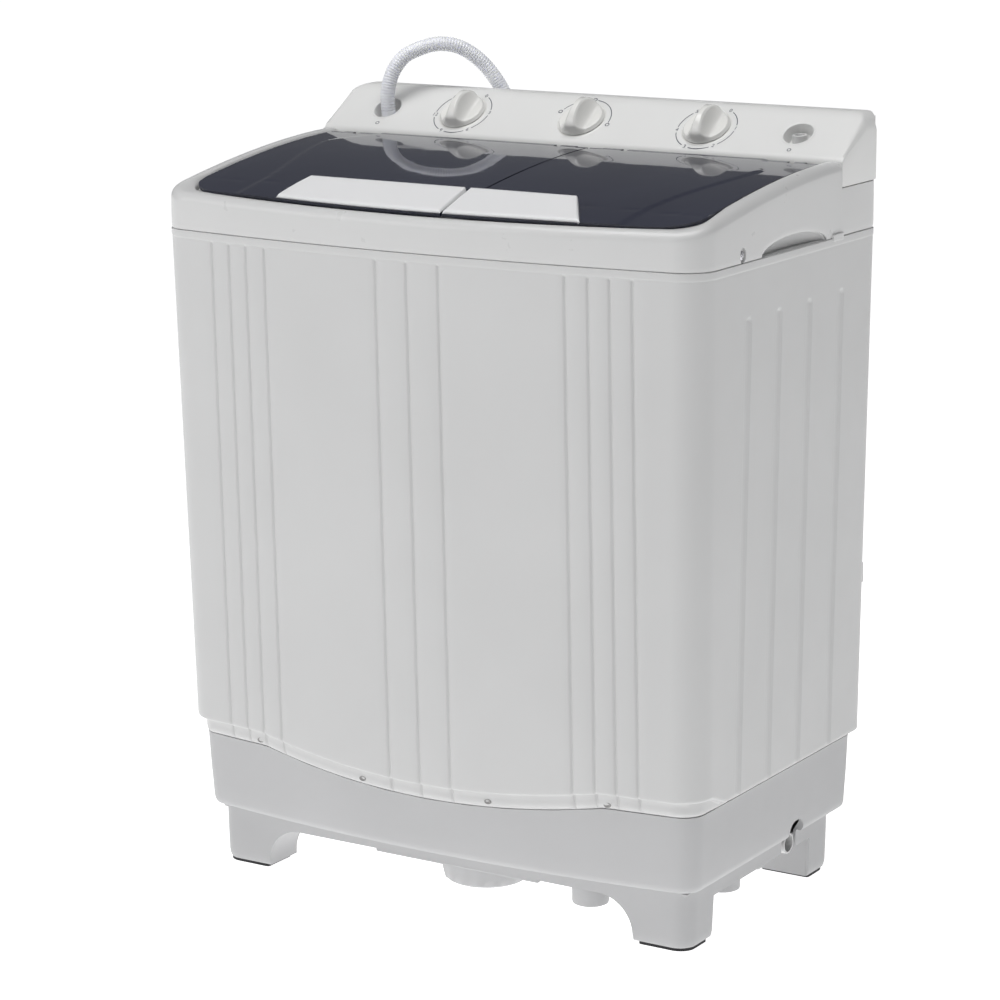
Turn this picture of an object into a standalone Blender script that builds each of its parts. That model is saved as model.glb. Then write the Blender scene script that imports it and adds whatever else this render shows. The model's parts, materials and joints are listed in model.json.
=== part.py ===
"""Twin-tub washing machine: a wash tub with a pulsator on the left, a spin dryer on the right.

Metres, +Z up, the front faces -Y, +X is the right-hand side. Z = 0 is the floor.
"""
import math

import bmesh
import bpy
from mathutils import Matrix, Vector

# ------------------------------------------------------------------ driving sizes
HALF_WIDTH = 0.325          # body at the deck seam
SIDE_TAPER = 0.0138         # the sides close in by this much per metre going down
FRONT_Y = -0.1925           # front face at the corners, at the seam
FRONT_LEAN = 0.0309         # the front leans back by this much per metre going down
FRONT_BOW = 0.0244          # the front is this much further forward in the middle
DEPTH = 0.394               # front corner to rear, at the seam
REAR_Y = FRONT_Y + DEPTH
FRONT_RADIUS = 0.035
REAR_RADIUS = 0.020
SEAM_Z = 0.708              # between body shell and deck
WALL = 0.003                # moulded plastic wall
GAP = 0.0003                # between touching pieces

# lower edge of the body shell: level at the corners, dipping in the middle of the front
EDGE_Z = 0.168
EDGE_DIP = 0.0215
EDGE_DIP_HALF = 0.21
SIDE_EDGE_Z = 0.156
BAND_HEIGHT = 0.0175
BAND_INSET = 0.008
LIP_BULGE = 0.0005
LIP_HEIGHT = 0.008
CLIP_Y = REAR_Y - 0.1005
CLIP_HALF = 0.0135
CLIP_PROUD = 0.0024

# base
BASE_STEP_Z = 0.067
BASE_RIM_Z = 0.176
SKIRT_Z = 0.048
SKIRT_IN = 0.0305           # the skirt and legs stand this far in from the sides
SKIRT_HALF_WIDTH = HALF_WIDTH - SKIRT_IN
SKIRT_FRONT_Y = FRONT_Y + 0.040
SKIRT_REAR_Y = REAR_Y - 0.027
FLOOR_Z = 0.0625            # underside of the base floor
FLOOR_THICK = 0.003
LEG_WIDTH = 0.066
LEG_DEPTH = 0.054
ARCH_RADIUS = 0.040
PAD_THICK = 0.003
PAD_INSET = 0.004
NOTCH_Y = SKIRT_REAR_Y - LEG_DEPTH - 0.0505
NOTCH_HALF = 0.0165
NOTCH_TOP = 0.0845

# deck
CONSOLE_DEPTH = 0.091
CONSOLE_FRONT_Y = REAR_Y - CONSOLE_DEPTH
CREST_REAR_Z = SEAM_Z + 0.077
CREST_DROP = 0.0355
CREST_LENGTH = 0.295
CREST_POWER = 1.7
CREST_REAR_Y = CONSOLE_FRONT_Y - 0.007
DECK_REAR_Z = SEAM_Z + 0.0565
RIM_WIDTH = 0.0175
LEDGE_DEPTH = 0.0085
LEDGE_INSET = 0.036
SKIRT_BOTTOM_Z = SEAM_Z - 0.008
LID_SPLIT_X = 0.030
LID_SPLIT_GAP = 0.0024
BAR_HALF = 0.016
SPIN_PLATE_Z = SEAM_Z + 0.0045
STRIP_FRONT_Y = CONSOLE_FRONT_Y - 0.002
GRIP_HALF = 0.072
GRIP_HEIGHT = 0.0155
GRIP_Y = REAR_Y - 0.197
GRIP_DEPTH = 0.020
SCREW_Y = -0.108            # seam screws, one each side

# lids and handles
LID_THICK = 0.0035
LID_CLEAR = 0.0015
LID_DROP = 0.001            # the lids lie this far below the rim's crest
LID_REAR_Y = CONSOLE_FRONT_Y - 0.008
HINGE_Y = LID_REAR_Y - 0.0035
HINGE_ROD_RADIUS = 0.0022
KNUCKLE_RADIUS = 0.0046
KNUCKLE_LENGTH = 0.012
LUG_WIDTH = 0.006
LUG_CLEAR = 0.0008          # between a lug and the notch that the lid has for it
NOTCH_FRONT = 0.0085        # the notches start this far in front of the hinge
CORNER_TRIM = 0.0015        # the lids' rear corners stop this far in front of it
WASH_KNUCKLES = (-HALF_WIDTH + 0.063, LID_SPLIT_X - 0.030)
SPIN_KNUCKLES = (LID_SPLIT_X + 0.034, HALF_WIDTH - 0.063)
ROD_CLEAR = 0.0004
HANDLE_REAR_Y = -0.1455
HANDLE_RISE = 0.0105
HANDLE_SHEET = 0.0022
HANDLE_LEFT = -0.185
HANDLE_RIGHT = 0.180
HANDLE_LEFT_TRIM = 0.016

# console
CONSOLE_HALF = HALF_WIDTH - 0.0035
CONSOLE_BASE_Z = DECK_REAR_Z + GAP
FACE_FOOT_Z = DECK_REAR_Z + 0.0215
FACE_ANGLE = math.radians(34.5)
FACE_LENGTH = 0.078
CONSOLE_WALL = 0.0025
CONSOLE_BEVEL = 0.006
KNOB_ALONG = 0.0375         # knob centres, measured up the slanted face
KNOB_XS = {"wash_timer": -CONSOLE_HALF + 0.1635, "selector": -0.005, "spin_timer": CONSOLE_HALF - 0.1725}
KNOB_RADIUS = 0.0265
KNOB_FLANGE = 0.0045
KNOB_GRIP = 0.0185
KNOB_BLADE = 0.0095
KNOB_LIFT = 0.0006
SHAFT_RADIUS = 0.003
PORT_X = CONSOLE_HALF - 0.0635
PORT_RADIUS = 0.0170
PORT_DEPTH = 0.020
NOZZLE_RADIUS = 0.0072
NOZZLE_IN = 0.007           # the nozzles stand this far down the slope from the middle of their cup
CAPACITOR_RADIUS = 0.0155

# wash side
TUB_WALL = 0.0025
TUB_TOP_Z = SKIRT_BOTTOM_Z - GAP
TUB_FLOOR_Z = 0.250
TUB_LEFT = -HALF_WIDTH + LEDGE_INSET - WALL
TUB_RIGHT = LID_SPLIT_X - BAR_HALF - 0.002
TUB_FRONT = FRONT_Y - FRONT_BOW * 0.45 + LEDGE_INSET
TUB_REAR = REAR_Y - 0.0415
WASH_X = (TUB_LEFT + TUB_RIGHT) / 2
WASH_Y = (TUB_FRONT + TUB_REAR) / 2 - 0.0012
PULSATOR_CLEAR = 0.028      # between the pulsator's rim and the tub's straight walls
PULSATOR_RADIUS = min(TUB_RIGHT - TUB_LEFT, TUB_REAR - TUB_FRONT) / 2 - PULSATOR_CLEAR
PULSATOR_LIFT = 0.008
HOUSING_RADIUS = 0.020
HOUSING_LOW_Z = 0.172
WASH_SHAFT_RADIUS = 0.008
BELT_Z = 0.144
BELT_HEIGHT = 0.007
BELT_THICK = 0.0035
WASH_PULLEY_RADIUS = 0.072
MOTOR_PULLEY_RADIUS = 0.024
PULLEY_HEIGHT = 0.013
PULLEY_CLEAR = 0.0008       # between the belt and the grooves
WASH_MOTOR_X = 0.014
WASH_MOTOR_Y = -0.090
WASH_MOTOR_RADIUS = 0.055

# spin side: the mouth fills the deck between the bar and the ledges, and the tubs follow it
SPIN_LEFT = LID_SPLIT_X + BAR_HALF
SPIN_RIGHT = HALF_WIDTH - LEDGE_INSET
SPIN_FRONT = FRONT_Y - FRONT_BOW + LEDGE_INSET
SPIN_X = (SPIN_LEFT + SPIN_RIGHT) / 2 + 0.0005
SPIN_Y = (SPIN_FRONT + STRIP_FRONT_Y) / 2 + 0.0032
MOUTH_EDGE = 0.0095         # plate left round the mouth
MOUTH_RADIUS = min(SPIN_RIGHT - SPIN_LEFT, STRIP_FRONT_Y - SPIN_FRONT) / 2 - MOUTH_EDGE
SPIN_TUB_RADIUS = MOUTH_RADIUS + 0.025
SPIN_TUB_FLOOR_Z = 0.265
BASKET_RADIUS = SPIN_TUB_RADIUS - 0.022
BASKET_WALL = 0.002
BASKET_TOP_Z = SKIRT_BOTTOM_Z - 0.010
BASKET_FLOOR_Z = 0.300
BASKET_MOUTH = MOUTH_RADIUS - 0.014
SPIN_SHAFT_RADIUS = 0.007
SEAL_RADIUS = 0.0185
DRUM_RADIUS = 0.048
DRUM_Z = 0.236
DRUM_HEIGHT = 0.018
SPIN_MOTOR_RADIUS = 0.060
SPIN_MOTOR_LOW_Z = 0.108
SPIN_MOTOR_HIGH_Z = 0.222
BRACKET_Z = 0.1015
BRACKET_THICK = 0.004
MOUNT_RING = SPIN_TUB_RADIUS - 0.043
MOUNT_ANGLES = (-92.0, 10.0, 135.0)
MOUNT_NAMES = ("front", "right", "rear")
CUP_RADIUS = 0.0195
CUP_BOTTOM_Z = 0.026

VALVE_X = TUB_RIGHT - 0.047
VALVE_Y = REAR_Y - 0.0915
VALVE_RADIUS = 0.022
VALVE_FLOOR_Z = 0.178
PLUG_RADIUS = 0.016
OUTLET_X = HALF_WIDTH - 0.063
OUTLET_Z = 0.056
OUTLET_RADIUS = 0.0115
OUTLET_BORE = 0.0090
GLAND_X = HALF_WIDTH - 0.050
GLAND_Z = 0.235
GLAND_RADIUS = 0.008
HOOK_X = HALF_WIDTH - 0.025
HOOK_Z = 0.314

HOSE_RADIUS = 0.0085

ROUND = 32                  # sides of a round piece

parts = bpy.data.collections.new("twin_tub_washer")
guides = bpy.data.collections.new("cutters")


# ------------------------------------------------------------------ helpers
def clear_scene():
    for item in list(bpy.data.objects):
        bpy.data.objects.remove(item)
    for group in (parts, guides):
        bpy.context.scene.collection.children.link(group)


def material(name, colour, roughness, metallic=0.0, alpha=1.0):
    made = bpy.data.materials.get(name)
    if made is None:
        made = bpy.data.materials.new(name)
        made.use_nodes = True
        shader = made.node_tree.nodes["Principled BSDF"]
        shader.inputs["Base Color"].default_value = (*colour, 1.0)
        shader.inputs["Roughness"].default_value = roughness
        shader.inputs["Metallic"].default_value = metallic
        shader.inputs["Alpha"].default_value = alpha
    return made


FINISHES = {
    "white": ((0.86, 0.86, 0.87), 0.38, 0.0, 1.0),
    "base_white": ((0.78, 0.78, 0.79), 0.45, 0.0, 1.0),
    "tub": ((0.80, 0.84, 0.88), 0.35, 0.0, 1.0),
    "smoke": ((0.05, 0.055, 0.075), 0.08, 0.0, 0.75),
    "knob": ((0.87, 0.87, 0.85), 0.30, 0.0, 1.0),
    "rubber": ((0.03, 0.03, 0.03), 0.80, 0.0, 1.0),
    "steel": ((0.62, 0.62, 0.64), 0.32, 1.0, 1.0),
    "motor": ((0.30, 0.31, 0.33), 0.45, 1.0, 1.0),
    "hose": ((0.84, 0.85, 0.88), 0.35, 0.0, 1.0),
    "timer": ((0.72, 0.68, 0.58), 0.5, 0.0, 1.0),
}


def add_object(name, mesh, finish=None):
    """Link a mesh as an object: a sub-part with its finish, or a cutter when finish is None."""
    item = bpy.data.objects.new(name, mesh)
    if finish is None:
        guides.objects.link(item)
        item.hide_render = True
        item.display_type = "WIRE"
    else:
        parts.objects.link(item)
        item.data.materials.append(material(finish, *FINISHES[finish]))
    return item


def mesh_from(name, build):
    """Run build(bm) and return the mesh, with its faces pointing out."""
    bm = bmesh.new()
    build(bm)
    bmesh.ops.recalc_face_normals(bm, faces=bm.faces)
    mesh = bpy.data.meshes.new(name)
    bm.to_mesh(mesh)
    bm.free()
    return mesh


def add_box(bm, low, high):
    size = [b - a for a, b in zip(low, high)]
    centre = [(a + b) / 2 for a, b in zip(low, high)]
    matrix = Matrix.Translation(centre) @ Matrix.Diagonal((*size, 1.0))
    return bmesh.ops.create_cube(bm, size=1.0, matrix=matrix)


def add_rod(bm, start, end, radius, sides=ROUND, end_radius=None):
    """A cylinder or cone from start to end."""
    start, end = Vector(start), Vector(end)
    along = end - start
    turn = along.to_track_quat("Z", "Y").to_matrix().to_4x4()
    matrix = Matrix.Translation((start + end) / 2) @ turn
    return bmesh.ops.create_cone(
        bm, cap_ends=True, segments=sides, radius1=radius,
        radius2=radius if end_radius is None else end_radius,
        depth=along.length, matrix=matrix)


def box(name, low, high, finish=None, bevel=0.0, segments=2):
    item = add_object(name, mesh_from(name, lambda bm: add_box(bm, low, high)), finish)
    if bevel:
        soften(item, bevel, segments)
    return item


def rod(name, start, end, radius, finish=None, sides=ROUND, end_radius=None):
    build = lambda bm: add_rod(bm, start, end, radius, sides, end_radius)
    item = add_object(name, mesh_from(name, build), finish)
    item.data.shade_smooth()
    item.data.set_sharp_from_angle(angle=math.radians(40))
    return item


def soften(item, width, segments=2, angle=35):
    bevel = item.modifiers.new("rounded_edges", "BEVEL")
    bevel.width = width
    bevel.segments = segments
    bevel.limit_method = "ANGLE"
    bevel.angle_limit = math.radians(angle)
    return bevel


def turned(name, profile, centre, finish, steps=ROUND):
    """A turned piece: (radius, height) points round its section, turned about Z."""
    mesh = bpy.data.meshes.new(name + "_profile")
    points = [(radius, 0.0, height) for radius, height in profile]
    edges = [(i, i + 1) for i in range(len(points) - 1)]
    if profile[0][0] > 0 and profile[-1][0] > 0:
        edges.append((len(points) - 1, 0))
    mesh.from_pydata(points, edges, [])
    section = add_object(name + "_section", mesh)
    screw = section.modifiers.new("turned", "SCREW")
    screw.steps = steps
    screw.render_steps = steps
    screw.use_merge_vertices = True
    screw.merge_threshold = 0.00005
    item = evaluated_copy(section, name, finish)
    bpy.data.objects.remove(section)
    item.location = centre
    item.data.shade_smooth()
    item.data.set_sharp_from_angle(angle=math.radians(40))
    return item


def cut(item, cutter, operation="DIFFERENCE"):
    modifier = item.modifiers.new(operation.lower() + "_" + cutter.name[:20], "BOOLEAN")
    modifier.operation = operation
    modifier.solver = "EXACT"
    modifier.object = cutter


def join_to(item, cutter):
    cut(item, cutter, "UNION")


def loft(name, rings, finish, closed_profile=False):
    """Skin equal rings of points. Closed profiles join the last ring to the first; others are capped."""
    def build(bm):
        rows = [[bm.verts.new(point) for point in ring] for ring in rings]
        count = len(rows[0])
        pairs = list(zip(rows, rows[1:]))
        if closed_profile:
            pairs.append((rows[-1], rows[0]))
        for lower, upper in pairs:
            for i in range(count):
                j = (i + 1) % count
                bm.faces.new((lower[i], lower[j], upper[j], upper[i]))
        if not closed_profile:
            bm.faces.new(rows[0])
            bm.faces.new(rows[-1])
        bmesh.ops.triangulate(bm, faces=[face for face in bm.faces if len(face.verts) > 4])
    return add_object(name, mesh_from(name, build), finish)


def evaluated_copy(item, name, finish=None):
    """The object's mesh as its modifiers leave it, as a new object."""
    bpy.context.view_layer.update()
    graph = bpy.context.evaluated_depsgraph_get()
    mesh = bpy.data.meshes.new_from_object(item.evaluated_get(graph))
    bm = bmesh.new()
    bm.from_mesh(mesh)
    bmesh.ops.remove_doubles(bm, verts=bm.verts, dist=0.00002)
    bmesh.ops.recalc_face_normals(bm, faces=bm.faces)
    bm.to_mesh(mesh)
    bm.free()
    made = add_object(name, mesh, finish)
    made.matrix_world = item.matrix_world.copy()
    return made


# ------------------------------------------------------------------ plan outline and surfaces
FRONT_STEPS = 10
CORNER_STEPS = 3
REAR_STEPS = 3
SIDE_FRONT_Y = -0.110
SIDE_STATIONS = [SIDE_FRONT_Y + (STRIP_FRONT_Y - SIDE_FRONT_Y) * i / 4 for i in range(5)]
SIDE_STATIONS += [CONSOLE_FRONT_Y, REAR_Y - 0.0565]


def plan_ring(half, front, rear, bow, front_radius, rear_radius, height):
    """Points round the plan: bowed front, two rounded corners, straight sides and rear."""
    def front_line(x):
        return front - bow * (1 - (x / half) ** 2)

    points = []
    reach = half - front_radius
    for i in range(FRONT_STEPS + 1):
        x = -reach + 2 * reach * i / FRONT_STEPS
        points.append((x, front_line(x)))
    centre_y = front_line(reach) + front_radius
    rear_reach = half - rear_radius
    right = []
    for i in range(1, CORNER_STEPS + 1):
        angle = math.radians(-90 + 90 * i / CORNER_STEPS)
        right.append((reach + front_radius * math.cos(angle),
                      centre_y + front_radius * math.sin(angle)))
    right += [(half, y) for y in SIDE_STATIONS]
    for i in range(CORNER_STEPS + 1):
        angle = math.radians(90 * i / CORNER_STEPS)
        right.append((rear_reach + rear_radius * math.cos(angle),
                      rear - rear_radius + rear_radius * math.sin(angle)))
    rear_line = [(rear_reach - 2 * rear_reach * i / REAR_STEPS, rear) for i in range(1, REAR_STEPS)]
    left = [(-x, y) for x, y in reversed(right)]
    ring = points + right + rear_line + left
    return [(x, y, height(x, y) if callable(height) else height) for x, y in ring]


def body_ring(inset, height, rear_inset=None):
    """The outline of the body at a height, pulled in by inset; the height may follow (x, y)."""
    level = height(0.0, FRONT_Y) if callable(height) else height
    down = SEAM_Z - level
    half = HALF_WIDTH - SIDE_TAPER * down - inset
    front = FRONT_Y + FRONT_LEAN * down + inset
    rear = REAR_Y - (inset if rear_inset is None else rear_inset)
    return plan_ring(half, front, rear, FRONT_BOW, max(FRONT_RADIUS - inset, 0.008),
                     max(REAR_RADIUS - inset, 0.006), height)


def crest(y):
    """Height of the deck rim and lids along the depth: a slope that flattens towards the rear."""
    reach = max(CREST_REAR_Y - y, 0.0) / CREST_LENGTH
    return CREST_REAR_Z - CREST_DROP * reach ** CREST_POWER


def deck_top(drop):
    def height(x, y):
        top = crest(y) if y < CONSOLE_FRONT_Y - 0.001 else DECK_REAR_Z
        return top - drop
    return height


def front_edge(offset=0.0):
    """Lower edge of the body shell: a parabola dip in the middle of the front, lower at the sides."""
    def height(x, y):
        if y > SIDE_FRONT_Y - 0.001:
            return SIDE_EDGE_Z + offset
        dip = max(0.0, 1 - (x / EDGE_DIP_HALF) ** 2)
        return EDGE_Z - EDGE_DIP * dip + offset
    return height


def band_edge(offset=0.0):
    """Lower edge of the band under it: a band's height down in front, and level round the sides."""
    def height(x, y):
        if y > SIDE_FRONT_Y - 0.001:
            return EDGE_Z - BAND_HEIGHT + offset
        return front_edge(offset - BAND_HEIGHT)(x, y)
    return height


def face_point(x, along, lift=0.0):
    """A point on the console's slanted face: along it from its foot, and lifted off it."""
    return Vector((x,
                   CONSOLE_FRONT_Y + along * math.cos(FACE_ANGLE) - lift * math.sin(FACE_ANGLE),
                   FACE_FOOT_Z + along * math.sin(FACE_ANGLE) + lift * math.cos(FACE_ANGLE)))


FACE_TURN = Matrix.Rotation(FACE_ANGLE, 4, "X")


def stand_on_face(item, x, along, lift=0.0):
    item.matrix_world = Matrix.Translation(face_point(x, along, lift)) @ FACE_TURN


# ------------------------------------------------------------------ base
def make_base():
    def skirt(inset, z):
        return plan_ring(SKIRT_HALF_WIDTH - inset, SKIRT_FRONT_Y + inset, SKIRT_REAR_Y - inset,
                         0.0, 0.022, 0.018, z)

    rim_inset = BAND_INSET + WALL + 0.0008
    rings = [
        skirt(WALL, FLOOR_Z), skirt(WALL, SKIRT_Z), skirt(0.0, SKIRT_Z), skirt(0.0, BASE_STEP_Z),
        body_ring(0.016, BASE_STEP_Z), body_ring(0.0125, BASE_STEP_Z + 0.005),
        body_ring(0.0095, band_edge(-0.0012)), body_ring(rim_inset, band_edge(-0.0008)),
        body_ring(rim_inset, BASE_RIM_Z), body_ring(rim_inset + WALL, BASE_RIM_Z),
        body_ring(rim_inset + WALL + 0.001, BASE_STEP_Z + 0.012),
        skirt(WALL, FLOOR_Z + FLOOR_THICK + 0.004), skirt(WALL + 0.004, FLOOR_Z + FLOOR_THICK),
    ]
    base = loft("base_plinth", rings, "base_white")
    arch_x = SKIRT_HALF_WIDTH - LEG_WIDTH - ARCH_RADIUS
    leg_top = FLOOR_Z + FLOOR_THICK / 2
    for side in (-1, 1):
        for end, y_low in (("front", SKIRT_FRONT_Y), ("rear", SKIRT_REAR_Y - LEG_DEPTH)):
            label = end + ("_left" if side < 0 else "_right")
            xs = sorted((side * arch_x, side * (SKIRT_HALF_WIDTH - 0.001)))
            leg = box("leg_" + label, (xs[0], y_low + 0.001, PAD_THICK + GAP),
                      (xs[1], y_low + LEG_DEPTH - 0.001, leg_top))
            soften(leg, 0.006, 2)
            arch_z = SKIRT_Z - ARCH_RADIUS
            arch = rod("arch_" + label, (side * arch_x, y_low - 0.02, arch_z),
                       (side * arch_x, y_low + LEG_DEPTH + 0.02, arch_z), ARCH_RADIUS, sides=24)
            cut(leg, arch)
            join_to(base, leg)
    notch = box("notch_slot", (HALF_WIDTH - 0.075, NOTCH_Y - NOTCH_HALF, SKIRT_Z - 0.01),
                (HALF_WIDTH + 0.01, NOTCH_Y + NOTCH_HALF, NOTCH_TOP - NOTCH_HALF))
    arch_top = rod("notch_arch", (HALF_WIDTH - 0.075, NOTCH_Y, NOTCH_TOP - NOTCH_HALF),
                   (HALF_WIDTH + 0.01, NOTCH_Y, NOTCH_TOP - NOTCH_HALF), NOTCH_HALF, sides=20)
    join_to(notch, arch_top)
    cut(base, notch)
    for index, angle in enumerate(MOUNT_ANGLES):
        x, y = mount_place(angle)
        cup = rod("mount_cup_%d" % index, (x, y, CUP_BOTTOM_Z), (x, y, FLOOR_Z + 0.001), CUP_RADIUS, sides=24)
        hollow = rod("cup_hollow_%d" % index, (x, y, CUP_BOTTOM_Z + WALL), (x, y, FLOOR_Z + 0.02),
                     CUP_RADIUS - WALL, sides=24)
        join_to(base, cup)
        cut(base, hollow)
    motor_hole = rod("motor_hole", (WASH_MOTOR_X, WASH_MOTOR_Y, FLOOR_Z - 0.01),
                     (WASH_MOTOR_X, WASH_MOTOR_Y, FLOOR_Z + 0.02), 0.034, sides=24)
    cut(base, motor_hole)


def mount_place(angle):
    turn = math.radians(angle)
    return SPIN_X + MOUNT_RING * math.cos(turn), SPIN_Y + MOUNT_RING * math.sin(turn)


def make_feet():
    for side, hand in ((-1, "left"), (1, "right")):
        inner = SKIRT_HALF_WIDTH - LEG_WIDTH + PAD_INSET
        xs = sorted((side * inner, side * (SKIRT_HALF_WIDTH - PAD_INSET - 0.001)))
        for end, y_low in (("front", SKIRT_FRONT_Y), ("rear", SKIRT_REAR_Y - LEG_DEPTH)):
            box("foot_pad_%s_%s" % (end, hand), (xs[0], y_low + PAD_INSET + 0.001, 0.0),
                (xs[1], y_low + LEG_DEPTH - PAD_INSET - 0.001, PAD_THICK), "rubber")


def make_underside():
    floor = FLOOR_Z - GAP
    turned("motor_guard", [
        (0.046, floor), (0.046, floor - 0.012), (0.040, floor - 0.036), (0.0, floor - 0.040),
        (0.0, floor - 0.037), (0.037, floor - 0.033), (0.043, floor - 0.012), (0.043, floor)],
           (WASH_MOTOR_X, WASH_MOTOR_Y, 0.0), "base_white")
    box("bottom_cover", (-0.092, SKIRT_FRONT_Y + 0.006, FLOOR_Z - 0.0205),
        (0.112, SKIRT_FRONT_Y + 0.013, floor), "base_white", bevel=0.002)


# ------------------------------------------------------------------ body shell and rear cover
COVER_HALF = HALF_WIDTH - 0.090
COVER_LOW = 0.215
COVER_HIGH = SEAM_Z - 0.068


def make_body():
    band_inner = BAND_INSET + WALL
    rings = [
        body_ring(-LIP_BULGE, SEAM_Z), body_ring(-LIP_BULGE, SEAM_Z - LIP_HEIGHT),
        body_ring(0.0, SEAM_Z - LIP_HEIGHT - 0.002),
        body_ring(0.0, front_edge(0.002)), body_ring(0.002, front_edge(0.0)),
        body_ring(BAND_INSET, front_edge(-0.0012)), body_ring(BAND_INSET + 0.001, band_edge(0.0)),
        body_ring(band_inner, band_edge(0.0)), body_ring(band_inner, BASE_RIM_Z + 0.0005),
        body_ring(WALL, BASE_RIM_Z + 0.006),
        body_ring(WALL, SEAM_Z),
    ]
    body = loft("body_shell", rings, "white", closed_profile=True)
    opening = box("rear_opening", (-COVER_HALF + 0.012, REAR_Y - 0.02, COVER_LOW + 0.012),
                  (COVER_HALF - 0.012, REAR_Y + 0.02, COVER_HIGH - 0.012))
    cut(body, opening)
    for side in (-1, 1):
        xs = sorted((side * (HALF_WIDTH - 0.002), side * (HALF_WIDTH + CLIP_PROUD)))
        clip = box("seam_clip_%d" % (side + 1), (xs[0], CLIP_Y - CLIP_HALF, SEAM_Z - LIP_HEIGHT + 0.001),
                   (xs[1], CLIP_Y + CLIP_HALF, SEAM_Z - 0.0005))
        join_to(body, clip)
    gland_hole = rod("gland_hole", (GLAND_X, REAR_Y - 0.02, GLAND_Z), (GLAND_X, REAR_Y + 0.02, GLAND_Z),
                     GLAND_RADIUS + 0.0005, sides=16)
    cut(body, gland_hole)
    make_rear()


def make_rear():
    """The cover over the rear opening, the mains gland and the hook for the drain hose."""
    cover_y = REAR_Y + GAP
    box("rear_cover", (-COVER_HALF, cover_y, COVER_LOW), (COVER_HALF, cover_y + 0.002, COVER_HIGH),
        "white")

    gland = rod("power_gland", (GLAND_X, REAR_Y - 0.012, GLAND_Z), (GLAND_X, REAR_Y + 0.006, GLAND_Z),
                GLAND_RADIUS, "rubber", sides=16)
    bore = rod("gland_bore", (GLAND_X, REAR_Y - 0.03, GLAND_Z), (GLAND_X, REAR_Y + 0.02, GLAND_Z),
               0.0036, sides=12)
    cut(gland, bore)

    tip_y = cover_y + 0.0157
    hook = box("hose_hook", (HOOK_X - 0.006, cover_y, HOOK_Z), (HOOK_X + 0.006, tip_y, HOOK_Z + 0.006),
               "white")
    upright = box("hook_upright", (HOOK_X - 0.006, tip_y - 0.0037, HOOK_Z + 0.003),
                  (HOOK_X + 0.006, tip_y, HOOK_Z + 0.022))
    plate = box("hook_plate", (HOOK_X - 0.012, cover_y, HOOK_Z - 0.006),
                (HOOK_X + 0.0035, cover_y + 0.003, HOOK_Z + 0.026))
    join_to(hook, upright)
    join_to(hook, plate)


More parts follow.
